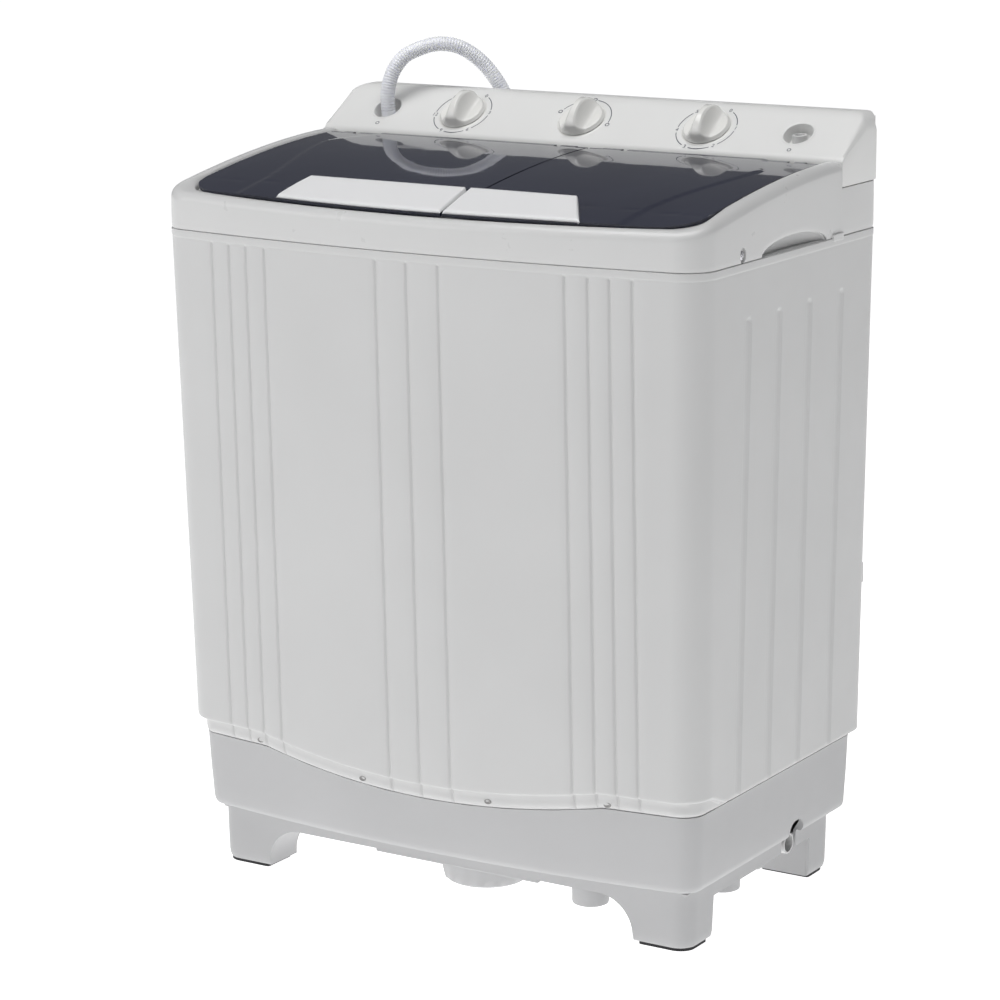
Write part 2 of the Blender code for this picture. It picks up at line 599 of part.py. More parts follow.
# ------------------------------------------------------------------ deck
def make_deck():
    foot = SEAM_Z + GAP
    rings = [
        body_ring(0.0, foot), body_ring(0.003, deck_top(0.012)), body_ring(0.0075, deck_top(0.0035)),
        body_ring(0.0135, deck_top(0.0)), body_ring(RIM_WIDTH, deck_top(0.0015)),
        body_ring(RIM_WIDTH + 0.0015, deck_top(LEDGE_DEPTH)),
        body_ring(LEDGE_INSET, deck_top(LEDGE_DEPTH)), body_ring(LEDGE_INSET, SKIRT_BOTTOM_Z),
        body_ring(LEDGE_INSET - WALL, SKIRT_BOTTOM_Z),
        body_ring(LEDGE_INSET - WALL, deck_top(LEDGE_DEPTH + WALL)),
        body_ring(RIM_WIDTH - 0.002, deck_top(LEDGE_DEPTH + WALL)),
        body_ring(RIM_WIDTH - 0.004, deck_top(0.0045)), body_ring(WALL + 0.003, deck_top(0.0135)),
        body_ring(WALL, foot),
    ]
    deck = loft("top_deck", rings, "white", closed_profile=True)

    inner = HALF_WIDTH - LEDGE_INSET
    front_reach = SPIN_FRONT + 0.001

    def bridge(bm):
        """The bar between the two mouths, following the lids' slope."""
        stations = [front_reach + (STRIP_FRONT_Y - front_reach) * i / 8 for i in range(9)]
        rows = []
        for y in stations:
            top = crest(y) - LEDGE_DEPTH
            rows.append([bm.verts.new((LID_SPLIT_X + dx * BAR_HALF, y, z)) for dx, z in
                         ((-1, top), (1, top), (1, SPIN_PLATE_Z), (-1, SPIN_PLATE_Z))])
        for near, far in zip(rows, rows[1:]):
            for i in range(4):
                j = (i + 1) % 4
                bm.faces.new((near[i], near[j], far[j], far[i]))
        bm.faces.new(rows[0])
        bm.faces.new(rows[-1])
    join_to(deck, add_object("bar_between", mesh_from("bar_between", bridge)))

    strip_z = DECK_REAR_Z - LEDGE_DEPTH
    strip = box("rear_strip", (-inner - 0.0012, STRIP_FRONT_Y, strip_z - WALL),
                (inner + 0.0012, REAR_Y - LEDGE_INSET + 0.0012, strip_z))
    join_to(deck, strip)
    apron = box("rear_apron", (-inner - 0.0012, STRIP_FRONT_Y, SKIRT_BOTTOM_Z + 0.0012),
                (inner + 0.0012, STRIP_FRONT_Y + WALL, strip_z - 0.001))
    join_to(deck, apron)

    plate = box("spin_plate", (SPIN_LEFT - 2 * BAR_HALF, front_reach + 0.013, SPIN_PLATE_Z),
                (inner + 0.0012, STRIP_FRONT_Y + 0.001, SPIN_PLATE_Z + WALL))
    mouth = rod("spin_mouth", (SPIN_X, SPIN_Y, SPIN_PLATE_Z - 0.02), (SPIN_X, SPIN_Y, SPIN_PLATE_Z + 0.02),
                MOUTH_RADIUS, sides=40)
    cut(plate, mouth)
    join_to(deck, plate)

    hinge_z = lid_hinge_z()
    for index, x in enumerate(lug_places()):
        low, high = x - LUG_WIDTH / 2, x + LUG_WIDTH / 2
        lug = box("hinge_lug_%d" % index, (low, HINGE_Y - 0.004, hinge_z - 0.0045),
                  (high, STRIP_FRONT_Y + 0.001, hinge_z + 0.0035))
        drop = box("lug_web_%d" % index, (low, STRIP_FRONT_Y - 0.003, strip_z - 0.001),
                   (high, STRIP_FRONT_Y + 0.0015, hinge_z + 0.001))
        join_to(lug, drop)
        hole = rod("lug_hole_%d" % index, (x - 0.01, HINGE_Y, hinge_z), (x + 0.01, HINGE_Y, hinge_z),
                   HINGE_ROD_RADIUS + ROD_CLEAR, sides=16)
        cut(lug, hole)
        join_to(deck, lug)

    for side in (-1, 1):
        label = "left" if side < 0 else "right"
        arch = rod("grip_arch_" + label, (side * (HALF_WIDTH - 0.012), 0, 0),
                   (side * (HALF_WIDTH + 0.01), 0, 0), 1.0, sides=32)
        squeeze = Matrix.Diagonal((1.0, GRIP_HALF, GRIP_HEIGHT, 1.0))
        arch.data.transform(Matrix.Translation((0, GRIP_Y, foot)) @ squeeze)
        cut(deck, arch)
        make_grip(side, label, foot)
        screw_z = SEAM_Z + 0.0075
        dimple = rod("screw_dimple_" + label, (side * (HALF_WIDTH - WALL + 0.0002), SCREW_Y, screw_z),
                     (side * (HALF_WIDTH + 0.01), SCREW_Y, screw_z), 0.0056, sides=16)
        cut(deck, dimple)


def make_grip(side, label, foot):
    """A moulded cup behind the hand opening, open outwards."""
    face_x = HALF_WIDTH - WALL - 0.0012
    xs = sorted((side * face_x, side * (face_x - GRIP_DEPTH)))
    cup = box("hand_grip_" + label, (xs[0], GRIP_Y - GRIP_HALF - 0.003, foot + 0.0005),
              (xs[1], GRIP_Y + GRIP_HALF + 0.003, foot + GRIP_HEIGHT + 0.0035), "white")
    hollow_xs = sorted((side * (face_x + 0.01), side * (face_x - GRIP_DEPTH + 0.002)))
    hollow = box("grip_hollow_" + label, (hollow_xs[0], GRIP_Y - GRIP_HALF, foot + 0.0025),
                 (hollow_xs[1], GRIP_Y + GRIP_HALF, foot + GRIP_HEIGHT + 0.001))
    cut(cup, hollow)


def lid_hinge_z():
    return crest(HINGE_Y) - LID_DROP - LID_THICK - KNUCKLE_RADIUS + 0.0008


def lug_places():
    step = KNUCKLE_LENGTH / 2 + 0.0036
    return (WASH_KNUCKLES[0] - step, WASH_KNUCKLES[1] - step,
            SPIN_KNUCKLES[0] + step, SPIN_KNUCKLES[1] + step)


# ------------------------------------------------------------------ lids
def lid_front(x):
    """Front edge of the lids: it follows the bowed front rim."""
    return FRONT_Y + RIM_WIDTH + LID_CLEAR + 0.0005 - FRONT_BOW * (1 - (x / HALF_WIDTH) ** 2)


def lid_sheet(name, low_x, high_x, round_side):
    """A thin curved sheet over the mouth, its outer front corner rounded."""
    columns, rows = 10, 8
    corner = 0.020

    def build(bm):
        grid = []
        for i in range(columns + 1):
            x = low_x + (high_x - low_x) * i / columns
            outer = (high_x - x) if round_side > 0 else (x - low_x)
            cut_in = corner - math.sqrt(max(corner ** 2 - max(corner - outer, 0.0) ** 2, 0.0))
            front = lid_front(x) + cut_in
            column = []
            for j in range(rows + 1):
                y = front + (LID_REAR_Y - front) * j / rows
                column.append(bm.verts.new((x, y, crest(y) - LID_DROP)))
            grid.append(column)
        for i in range(columns):
            for j in range(rows):
                bm.faces.new((grid[i][j], grid[i + 1][j], grid[i + 1][j + 1], grid[i][j + 1]))
    item = add_object(name, mesh_from(name, build), "smoke")
    solid = item.modifiers.new("sheet", "SOLIDIFY")
    solid.thickness = LID_THICK
    solid.offset = -1.0
    return item


def lid_with_knuckles(name, low_x, high_x, round_side, knuckles, mouth):
    """A lid on its knuckles, notched for the lugs, with its rear corners trimmed clear of the ledge."""
    sheet = lid_sheet(name + "_sheet", low_x, high_x, round_side)
    lid = evaluated_copy(sheet, name, "smoke")
    bpy.data.objects.remove(sheet)
    hinge_z = lid_hinge_z()
    for index, x in enumerate(knuckles):
        low, high = x - KNUCKLE_LENGTH / 2, x + KNUCKLE_LENGTH / 2
        knuckle = rod("%s_knuckle_%d" % (name, index), (low, HINGE_Y, hinge_z), (high, HINGE_Y, hinge_z),
                      KNUCKLE_RADIUS, sides=20)
        hole = rod("%s_hole_%d" % (name, index), (low - 0.005, HINGE_Y, hinge_z),
                   (high + 0.005, HINGE_Y, hinge_z), HINGE_ROD_RADIUS + ROD_CLEAR, sides=16)
        join_to(lid, knuckle)
        cut(lid, hole)
    for index, x in enumerate(lug_places()):
        reach = LUG_WIDTH / 2 + LUG_CLEAR
        notch = box("%s_notch_%d" % (name, index), (x - reach, HINGE_Y - NOTCH_FRONT, hinge_z - 0.001),
                    (x + reach, LID_REAR_Y + 0.002, hinge_z + 0.020))
        if low_x < x < high_x:
            cut(lid, notch)
    corners = ((low_x - 0.001, mouth[0] + 0.001), (mouth[1] - 0.001, high_x + 0.001))
    for index, (start, end) in enumerate(corners):
        corner = box("%s_corner_%d" % (name, index), (start, HINGE_Y - CORNER_TRIM, hinge_z - 0.001),
                     (end, LID_REAR_Y + 0.002, hinge_z + 0.020))
        cut(lid, corner)
    return lid


def handle_strip(name, low_x, high_x, trim):
    """A raised grip strip: a sloping top, cheeks and a front lip, open towards the rear."""
    def top(y, x):
        front = lid_front(x)
        reach = (y - front) / (HANDLE_REAR_Y - front)
        return crest(y) - LID_DROP + GAP + HANDLE_SHEET + (HANDLE_RISE - HANDLE_SHEET) * reach

    def section(x, inner, rear_y):
        front = lid_front(x) + (HANDLE_SHEET * 1.5 if inner else 0.0)
        lift = HANDLE_SHEET if inner else 0.0
        foot = -0.004 if inner else GAP
        rows = []
        stops = [front, (front + HANDLE_REAR_Y) / 2, HANDLE_REAR_Y] + ([rear_y] if inner else [])
        for y in stops:
            rows.append((y, top(min(y, HANDLE_REAR_Y), x) - lift))
        base_rows = [(y, crest(y) - LID_DROP + foot) for y, _ in reversed(rows)]
        return rows + base_rows

    def solid(label, inner, low, high):
        def build(bm):
            steps = 6
            rings = []
            for i in range(steps + 1):
                x = low + (high - low) * i / steps
                shift = trim * (1 - i / steps) ** 6 if trim and not inner else 0.0
                rings.append([bm.verts.new((x, y, z)) for y, z in
                              section(x, inner, HANDLE_REAR_Y + 0.02)])
            count = len(rings[0])
            for near, far in zip(rings, rings[1:]):
                for i in range(count):
                    j = (i + 1) % count
                    bm.faces.new((near[i], near[j], far[j], far[i]))
            bm.faces.new(rings[0])
            bm.faces.new(rings[-1])
        return mesh_from(label, build)

    strip = add_object(name, solid(name, False, low_x, high_x), "white")
    cheek = 0.0025
    pocket = add_object(name + "_pocket", solid(name + "_pocket", True, low_x + cheek, high_x - cheek))
    cut(strip, pocket)
    return strip


def make_lids():
    outer = HALF_WIDTH - RIM_WIDTH - 0.0015 - LID_CLEAR
    split_low = LID_SPLIT_X - LID_SPLIT_GAP / 2
    split_high = LID_SPLIT_X + LID_SPLIT_GAP / 2
    wash_mouth = (LEDGE_INSET - HALF_WIDTH, LID_SPLIT_X - BAR_HALF)
    lid_with_knuckles("wash_lid", -outer, split_low, -1, WASH_KNUCKLES, wash_mouth)
    lid_with_knuckles("spin_lid", split_high, outer, 1, SPIN_KNUCKLES, (SPIN_LEFT, SPIN_RIGHT))
    handle_strip("wash_lid_handle", HANDLE_LEFT, split_low - 0.0002, HANDLE_LEFT_TRIM)
    handle_strip("spin_lid_handle", split_high + 0.0002, HANDLE_RIGHT, 0.0)
    hinge_z = lid_hinge_z()
    reach = KNUCKLE_LENGTH / 2 + 0.008
    for name, places in (("wash_hinge_rod", WASH_KNUCKLES), ("spin_hinge_rod", SPIN_KNUCKLES)):
        rod(name, (places[0] - reach, HINGE_Y, hinge_z), (places[1] + reach, HINGE_Y, hinge_z),
            HINGE_ROD_RADIUS, "steel", sides=12)


# ------------------------------------------------------------------ console
def console_top():
    return FACE_FOOT_Z + FACE_LENGTH * math.sin(FACE_ANGLE)


def console_outline(inset, past=0.0):
    """The console's section as (y, z) points: front foot, face, top, rear; past reaches out behind."""
    low, rear = CONSOLE_BASE_Z - past, REAR_Y + past
    top = console_top() - inset
    face_y = CONSOLE_FRONT_Y + inset
    foot_z = FACE_FOOT_Z - inset * (1 / math.cos(FACE_ANGLE) - math.tan(FACE_ANGLE))
    slope_y = face_y + (top - foot_z) / math.tan(FACE_ANGLE)
    return [(face_y, low), (face_y, foot_z), (slope_y, top), (rear, top), (rear, low)]


def extruded_x(name, outline, half, finish=None):
    def build(bm):
        ends = [[bm.verts.new((x, y, z)) for y, z in outline] for x in (-half, half)]
        count = len(outline)
        for i in range(count):
            j = (i + 1) % count
            bm.faces.new((ends[0][i], ends[0][j], ends[1][j], ends[1][i]))
        bm.faces.new(ends[0])
        bm.faces.new(ends[1])
    return add_object(name, mesh_from(name, build), finish)


def make_console():
    housing = extruded_x("console_housing", console_outline(0.0), CONSOLE_HALF, "white")
    soften(housing, CONSOLE_BEVEL, 3, angle=30)
    inside = extruded_x("console_inside", console_outline(CONSOLE_WALL, past=0.01),
                        CONSOLE_HALF - CONSOLE_WALL)
    cut(housing, inside)
    for name, x in KNOB_XS.items():
        hole = rod(name + "_hole", (0, 0, -0.02), (0, 0, 0.02), SHAFT_RADIUS + 0.0012, sides=16)
        stand_on_face(hole, x, KNOB_ALONG)
        cut(housing, hole)
    for side in (-1, 1):
        hole = rod("port_hole_%d" % (side + 1), (0, 0, -0.02), (0, 0, 0.02), PORT_RADIUS + 0.0008, sides=24)
        stand_on_face(hole, side * PORT_X, KNOB_ALONG)
        cut(housing, hole)
    back_y = REAR_Y - 0.003
    back = box("console_back", (-CONSOLE_HALF + CONSOLE_WALL + 0.001, back_y, CONSOLE_BASE_Z + 0.001),
               (CONSOLE_HALF - CONSOLE_WALL - 0.001, REAR_Y - 0.0005, console_top() - 0.006), "white")
    for index in range(6):
        x = 0.10 + index * 0.016
        vent = box("vent_%d" % index, (x, back_y - 0.01, CONSOLE_BASE_Z + 0.020),
                   (x + 0.006, REAR_Y + 0.01, CONSOLE_BASE_Z + 0.043))
        cut(back, vent)

    make_knobs()
    make_ports()


def make_knobs():
    under = CONSOLE_WALL + 0.001
    for name, x in KNOB_XS.items():
        knob = turned(name + "_knob", [
            (0.0, KNOB_FLANGE + 0.0022), (KNOB_RADIUS * 0.72, KNOB_FLANGE + 0.0014),
            (KNOB_RADIUS * 0.93, KNOB_FLANGE * 0.8), (KNOB_RADIUS, 0.0), (0.0, 0.0)], (0, 0, 0), "knob")
        blade = box(name + "_blade", (-KNOB_BLADE / 2, -KNOB_RADIUS * 0.88, 0.0005),
                    (KNOB_BLADE / 2, KNOB_RADIUS * 0.88, KNOB_FLANGE + KNOB_GRIP), bevel=0.003)
        stand_on_face(knob, x, KNOB_ALONG, KNOB_LIFT)
        stand_on_face(blade, x, KNOB_ALONG, KNOB_LIFT)
        join_to(knob, blade)
        shaft = rod(name + "_shaft", (0, 0, -under - 0.0005), (0, 0, KNOB_LIFT - GAP), SHAFT_RADIUS,
                    "steel", sides=14)
        stand_on_face(shaft, x, KNOB_ALONG)
        depth = 0.026 if name == "selector" else 0.032
        half = 0.019 if name == "selector" else 0.0225
        device = box("selector_switch" if name == "selector" else name + "_drive",
                     (-half, -0.017, -under - 0.001 - depth), (half, 0.017, -under - 0.001), "timer",
                     bevel=0.003)
        stand_on_face(device, x, KNOB_ALONG)
    capacitor = (PORT_X - 0.043, REAR_Y - 0.0385)
    rod("capacitor", (*capacitor, DECK_REAR_Z - 0.0065), (*capacitor, DECK_REAR_Z + 0.0355), CAPACITOR_RADIUS,
        "motor", sides=24)


def make_ports():
    """A cup sunk in the face with a short upright nozzle."""
    for side, name in ((-1, "inlet_port_left"), (1, "inlet_port_right")):
        cup = turned(name, [
            (PORT_RADIUS, -0.0004), (PORT_RADIUS, -PORT_DEPTH), (0.0, -PORT_DEPTH),
            (0.0, -PORT_DEPTH + 0.002), (PORT_RADIUS - 0.002, -PORT_DEPTH + 0.002),
            (PORT_RADIUS - 0.002, -0.0004)], (0, 0, 0), "white", steps=24)
        stand_on_face(cup, side * PORT_X, KNOB_ALONG)
        base = face_point(side * PORT_X, KNOB_ALONG - NOZZLE_IN, -PORT_DEPTH + 0.001)
        rise = 0.0105 if side < 0 else 0.019
        nozzle = rod(name + "_nozzle", base, base + Vector((0, -0.002, rise)), NOZZLE_RADIUS, sides=18)
        bore = rod(name + "_bore", base + Vector((0, 0, 0.004)), base + Vector((0, -0.002, rise + 0.004)),
                   NOZZLE_RADIUS - 0.002, sides=16)
        cut(nozzle, bore)
        join_to(cup, nozzle)


# ------------------------------------------------------------------ wash side
def tub_ring(low_x, high_x, low_y, high_y, radius, z):
    """A rounded rectangle, five points round each corner."""
    points = []
    corners = ((high_x - radius, low_y + radius, -90), (high_x - radius, high_y - radius, 0),
               (low_x + radius, high_y - radius, 90), (low_x + radius, low_y + radius, 180))
    for cx, cy, start in corners:
        for i in range(5):
            angle = math.radians(start + 90 * i / 4)
            points.append((cx + radius * math.cos(angle), cy + radius * math.sin(angle), z))
    return points


def make_wash_tub():
    left, right, front, rear = TUB_LEFT, TUB_RIGHT, TUB_FRONT, TUB_REAR
    shape = (
        (left, right, front, STRIP_FRONT_Y - 0.004, 0.040, TUB_TOP_Z),
        (left, right, front, STRIP_FRONT_Y - 0.004, 0.040, TUB_TOP_Z - 0.035),
        (left, right, front - 0.001, rear, 0.050, TUB_TOP_Z - 0.090),
        (left + 0.008, right - 0.006, front + 0.002, rear - 0.004, 0.058, TUB_FLOOR_Z + 0.050),
        (left + 0.018, right - 0.014, front + 0.012, rear - 0.014, 0.060, TUB_FLOOR_Z + 0.012),
        (left + 0.034, right - 0.030, front + 0.028, rear - 0.030, 0.060, TUB_FLOOR_Z),
    )
    outer, inner = [], []
    for low_x, high_x, low_y, high_y, radius, z in shape:
        drop = TUB_WALL if z == TUB_FLOOR_Z else 0.0
        outer.append(tub_ring(low_x, high_x, low_y, high_y, radius, z - drop))
        inner.append(tub_ring(low_x + TUB_WALL, high_x - TUB_WALL, low_y + TUB_WALL,
                              high_y - TUB_WALL, radius - TUB_WALL * 0.6, z))
    tub = loft("wash_tub", outer[::-1] + inner, "tub")
    shaft_hole = rod("tub_shaft_hole", (WASH_X, WASH_Y, TUB_FLOOR_Z - 0.02),
                     (WASH_X, WASH_Y, TUB_FLOOR_Z + 0.02), WASH_SHAFT_RADIUS + 0.004, sides=20)
    drain_hole = rod("tub_drain_hole", (VALVE_X, VALVE_Y, TUB_FLOOR_Z - 0.02),
                     (VALVE_X, VALVE_Y, TUB_FLOOR_Z + 0.02), 0.012, sides=20)
    cut(tub, shaft_hole)
    cut(tub, drain_hole)
    filter_x = right - 0.006 - TUB_WALL - 0.0015
    box("lint_filter", (filter_x - 0.0205, WASH_Y - 0.040, TUB_FLOOR_Z + 0.130),
        (filter_x, WASH_Y + 0.070, TUB_TOP_Z - 0.060), "tub", bevel=0.004)


def make_wash_drive():
    top = TUB_FLOOR_Z + PULSATOR_LIFT
    pulsator = turned("pulsator", [
        (0.0, 0.022), (0.030, 0.020), (PULSATOR_RADIUS - 0.032, 0.008), (PULSATOR_RADIUS, 0.004),
        (PULSATOR_RADIUS, 0.0),
        (0.0, 0.0)], (WASH_X, WASH_Y, top), "tub")
    for index in range(3):
        blade = box("pulsator_blade_%d" % index, (0.018, -0.006, 0.001),
                    (PULSATOR_RADIUS - 0.012, 0.006, 0.026), bevel=0.004)
        blade.matrix_world = (Matrix.Translation((WASH_X, WASH_Y, top))
                              @ Matrix.Rotation(math.radians(120 * index + 30), 4, "Z"))
        join_to(pulsator, blade)
    pulley_top = BELT_Z + PULLEY_HEIGHT / 2
    rod("pulsator_shaft", (WASH_X, WASH_Y, pulley_top + GAP), (WASH_X, WASH_Y, top - GAP),
        WASH_SHAFT_RADIUS, "steel", sides=20)
    seat = TUB_FLOOR_Z - TUB_WALL - GAP
    bore = WASH_SHAFT_RADIUS + 0.0005
    turned("shaft_housing", [
        (0.034, seat), (0.034, seat - 0.015), (HOUSING_RADIUS, seat - 0.022), (HOUSING_RADIUS, HOUSING_LOW_Z),
        (bore, HOUSING_LOW_Z), (bore, seat)], (WASH_X, WASH_Y, 0.0), "motor", steps=24)
    pulley("wash_pulley", WASH_X, WASH_Y, WASH_PULLEY_RADIUS, pulley_top)
    pulley("motor_pulley", WASH_MOTOR_X, WASH_MOTOR_Y, MOTOR_PULLEY_RADIUS, pulley_top)
    motor_top = BELT_Z - PULLEY_HEIGHT / 2 - 0.004
    rod("wash_motor", (WASH_MOTOR_X, WASH_MOTOR_Y, FLOOR_Z + FLOOR_THICK + 0.008),
        (WASH_MOTOR_X, WASH_MOTOR_Y, motor_top), WASH_MOTOR_RADIUS, "motor", sides=28)
    make_belt()


def pulley(name, x, y, rim, top):
    """A grooved wheel; rim is the groove's floor, with a flange each side of the belt."""
    half = PULLEY_HEIGHT / 2
    groove = BELT_HEIGHT / 2 + PULLEY_CLEAR
    flange = rim + BELT_THICK + 0.001
    return turned(name, [
        (0.0, half), (flange, half), (flange, groove), (rim, groove), (rim, -groove),
        (flange, -groove), (flange, -half), (0.0, -half)], (x, y, top - half), "motor", steps=28)


def make_belt():
    """An endless belt round both pulleys: two arcs joined by their tangents."""
    ax, ay, bx, by = WASH_X, WASH_Y, WASH_MOTOR_X, WASH_MOTOR_Y
    distance = math.hypot(bx - ax, by - ay)
    heading = math.atan2(by - ay, bx - ax)
    lean = math.acos((WASH_PULLEY_RADIUS - MOTOR_PULLEY_RADIUS) / distance)

    def loop(extra, z):
        points = []
        big, small = WASH_PULLEY_RADIUS + extra, MOTOR_PULLEY_RADIUS + extra
        for i in range(21):
            angle = heading + lean + (2 * math.pi - 2 * lean) * i / 20
            points.append((ax + big * math.cos(angle), ay + big * math.sin(angle), z))
        for i in range(11):
            angle = heading - lean + 2 * lean * i / 10
            points.append((bx + small * math.cos(angle), by + small * math.sin(angle), z))
        return points
    near, far = PULLEY_CLEAR, PULLEY_CLEAR + BELT_THICK
    low, high = BELT_Z - BELT_HEIGHT / 2, BELT_Z + BELT_HEIGHT / 2
    loft("drive_belt", [loop(near, low), loop(far, low), loop(far, high), loop(near, high)],
         "rubber", closed_profile=True)


def make_drain():
    top = TUB_FLOOR_Z - TUB_WALL - GAP
    bore = VALVE_RADIUS - 0.003
    turned("drain_valve_body", [
        (VALVE_RADIUS, top), (VALVE_RADIUS, VALVE_FLOOR_Z), (0.0, VALVE_FLOOR_Z),
        (0.0, VALVE_FLOOR_Z + 0.004), (bore, VALVE_FLOOR_Z + 0.004), (bore, top)],
        (VALVE_X, VALVE_Y, 0.0), "tub", steps=24)
    plug_top = TUB_FLOOR_Z - 0.022
    turned("drain_valve_plug", [
        (0.0, plug_top), (PLUG_RADIUS - 0.006, plug_top), (PLUG_RADIUS, plug_top - 0.008),
        (PLUG_RADIUS, plug_top - 0.016), (0.006, plug_top - 0.020), (0.006, plug_top - 0.038),
        (0.0, plug_top - 0.038)], (VALVE_X, VALVE_Y, 0.0), "rubber", steps=20)
    outlet = rod("drain_outlet", (OUTLET_X, NOTCH_Y, OUTLET_Z), (OUTLET_X + 0.044, NOTCH_Y, OUTLET_Z),
                 OUTLET_RADIUS, "white", sides=20)
    bore = rod("outlet_bore", (OUTLET_X + 0.004, NOTCH_Y, OUTLET_Z), (OUTLET_X + 0.058, NOTCH_Y, OUTLET_Z),
               OUTLET_BORE, sides=18)
    elbow = rod("outlet_elbow", (OUTLET_X + 0.006, NOTCH_Y, OUTLET_Z - 0.002),
                (OUTLET_X + 0.006, NOTCH_Y, OUTLET_Z + 0.044), OUTLET_RADIUS - 0.001, sides=18)
    join_to(outlet, elbow)
    cut(outlet, bore)


# ------------------------------------------------------------------ spin side
def make_spin():
    here = (SPIN_X, SPIN_Y, 0.0)
    shaft_hole = SEAL_RADIUS + 0.0015
    floor = SPIN_TUB_FLOOR_Z
    turned("spin_tub", [
        (SPIN_TUB_RADIUS, TUB_TOP_Z), (SPIN_TUB_RADIUS - 0.004, floor + 0.012),
        (SPIN_TUB_RADIUS - 0.016, floor - TUB_WALL), (shaft_hole, floor - TUB_WALL),
        (shaft_hole, floor), (SPIN_TUB_RADIUS - 0.018, floor),
        (SPIN_TUB_RADIUS - 0.004 - TUB_WALL, floor + 0.014),
        (SPIN_TUB_RADIUS - TUB_WALL, TUB_TOP_Z)], here, "tub", steps=32)
    wall, sole = BASKET_WALL, BASKET_FLOOR_Z
    turned("spin_basket", [
        (BASKET_MOUTH, BASKET_TOP_Z), (BASKET_RADIUS - 0.004, BASKET_TOP_Z),
        (BASKET_RADIUS, BASKET_TOP_Z - 0.006), (BASKET_RADIUS - 0.003, sole + 0.010),
        (BASKET_RADIUS - 0.012, sole), (0.0, sole), (0.0, sole + 0.003),
        (BASKET_RADIUS - 0.014, sole + 0.003), (BASKET_RADIUS - 0.003 - wall, sole + 0.012),
        (BASKET_RADIUS - wall, BASKET_TOP_Z - 0.007), (BASKET_MOUTH, BASKET_TOP_Z - wall)],
        here, "tub", steps=32)
    plate = BASKET_RADIUS - 0.023
    turned("press_plate", [(plate, 0.003), (plate, 0.0), (0.010, 0.0), (0.010, 0.003)],
           (SPIN_X, SPIN_Y, sole + 0.012), "tub", steps=32)
    hub, shaft, foot = 0.026, SPIN_SHAFT_RADIUS, SPIN_MOTOR_HIGH_Z + 0.0065
    turned("spin_shaft", [
        (0.0, sole - GAP), (hub, sole - GAP), (hub, sole - 0.006),
        (shaft, sole - 0.010), (shaft, DRUM_Z + DRUM_HEIGHT),
        (DRUM_RADIUS, DRUM_Z + DRUM_HEIGHT), (DRUM_RADIUS, DRUM_Z), (shaft, DRUM_Z),
        (shaft, foot), (0.0, foot)], here, "steel", steps=28)
    seal_bore = SPIN_SHAFT_RADIUS + 0.0025
    turned("shaft_seal", [
        (SEAL_RADIUS - 0.002, floor + 0.012), (SEAL_RADIUS, floor + 0.001), (SEAL_RADIUS, floor - 0.0075),
        (seal_bore, floor - 0.0075), (seal_bore, floor + 0.012)], here, "rubber", steps=24)
    rod("spin_motor", (SPIN_X, SPIN_Y, SPIN_MOTOR_LOW_Z), (SPIN_X, SPIN_Y, SPIN_MOTOR_HIGH_Z),
        SPIN_MOTOR_RADIUS, "motor", sides=32)
    make_motor_mounts()
    make_brake()


def make_motor_mounts():
    bracket = add_object("motor_bracket", mesh_from("motor_bracket", lambda bm: add_rod(
        bm, (SPIN_X, SPIN_Y, BRACKET_Z), (SPIN_X, SPIN_Y, BRACKET_Z + 0.006), 0.040, sides=24)), "motor")
    for index, angle in enumerate(MOUNT_ANGLES):
        x, y = mount_place(angle)
        arm = box("bracket_arm_%d" % index, (0.0, -0.013, BRACKET_Z),
                  (MOUNT_RING + 0.012, 0.013, BRACKET_Z + BRACKET_THICK))
        arm.matrix_world = (Matrix.Translation((SPIN_X, SPIN_Y, 0.0))
                            @ Matrix.Rotation(math.radians(angle), 4, "Z"))
        join_to(bracket, arm)
    turns, coil_radius, wire = 4, 0.0105, 0.0016
    low, high = CUP_BOTTOM_Z + WALL + wire + GAP, BRACKET_Z - wire - GAP

    def coil(cx, cy):
        sides, per_turn = 5, 8
        count = turns * per_turn

        def build(bm):
            rings = []
            for i in range(count + 1):
                turn = 2 * math.pi * i / per_turn
                outward = Vector((math.cos(turn), math.sin(turn), 0.0))
                centre = Vector((cx, cy, low + (high - low) * i / count)) + outward * coil_radius
                rings.append([bm.verts.new(centre + outward * wire * math.cos(2 * math.pi * k / sides)
                                           + Vector((0, 0, wire * math.sin(2 * math.pi * k / sides))))
                              for k in range(sides)])
            for near, far in zip(rings, rings[1:]):
                for k in range(sides):
                    j = (k + 1) % sides
                    bm.faces.new((near[k], near[j], far[j], far[k]))
            bm.faces.new(rings[0])
            bm.faces.new(rings[-1])
        return build
    for name, angle in zip(MOUNT_NAMES, MOUNT_ANGLES):
        label = "motor_spring_" + name
        add_object(label, mesh_from(label, coil(*mount_place(angle))), "steel")


BRAKE_X = SPIN_X + DRUM_RADIUS + 0.0095
BRAKE_PIVOT_Y = SPIN_Y - 0.040


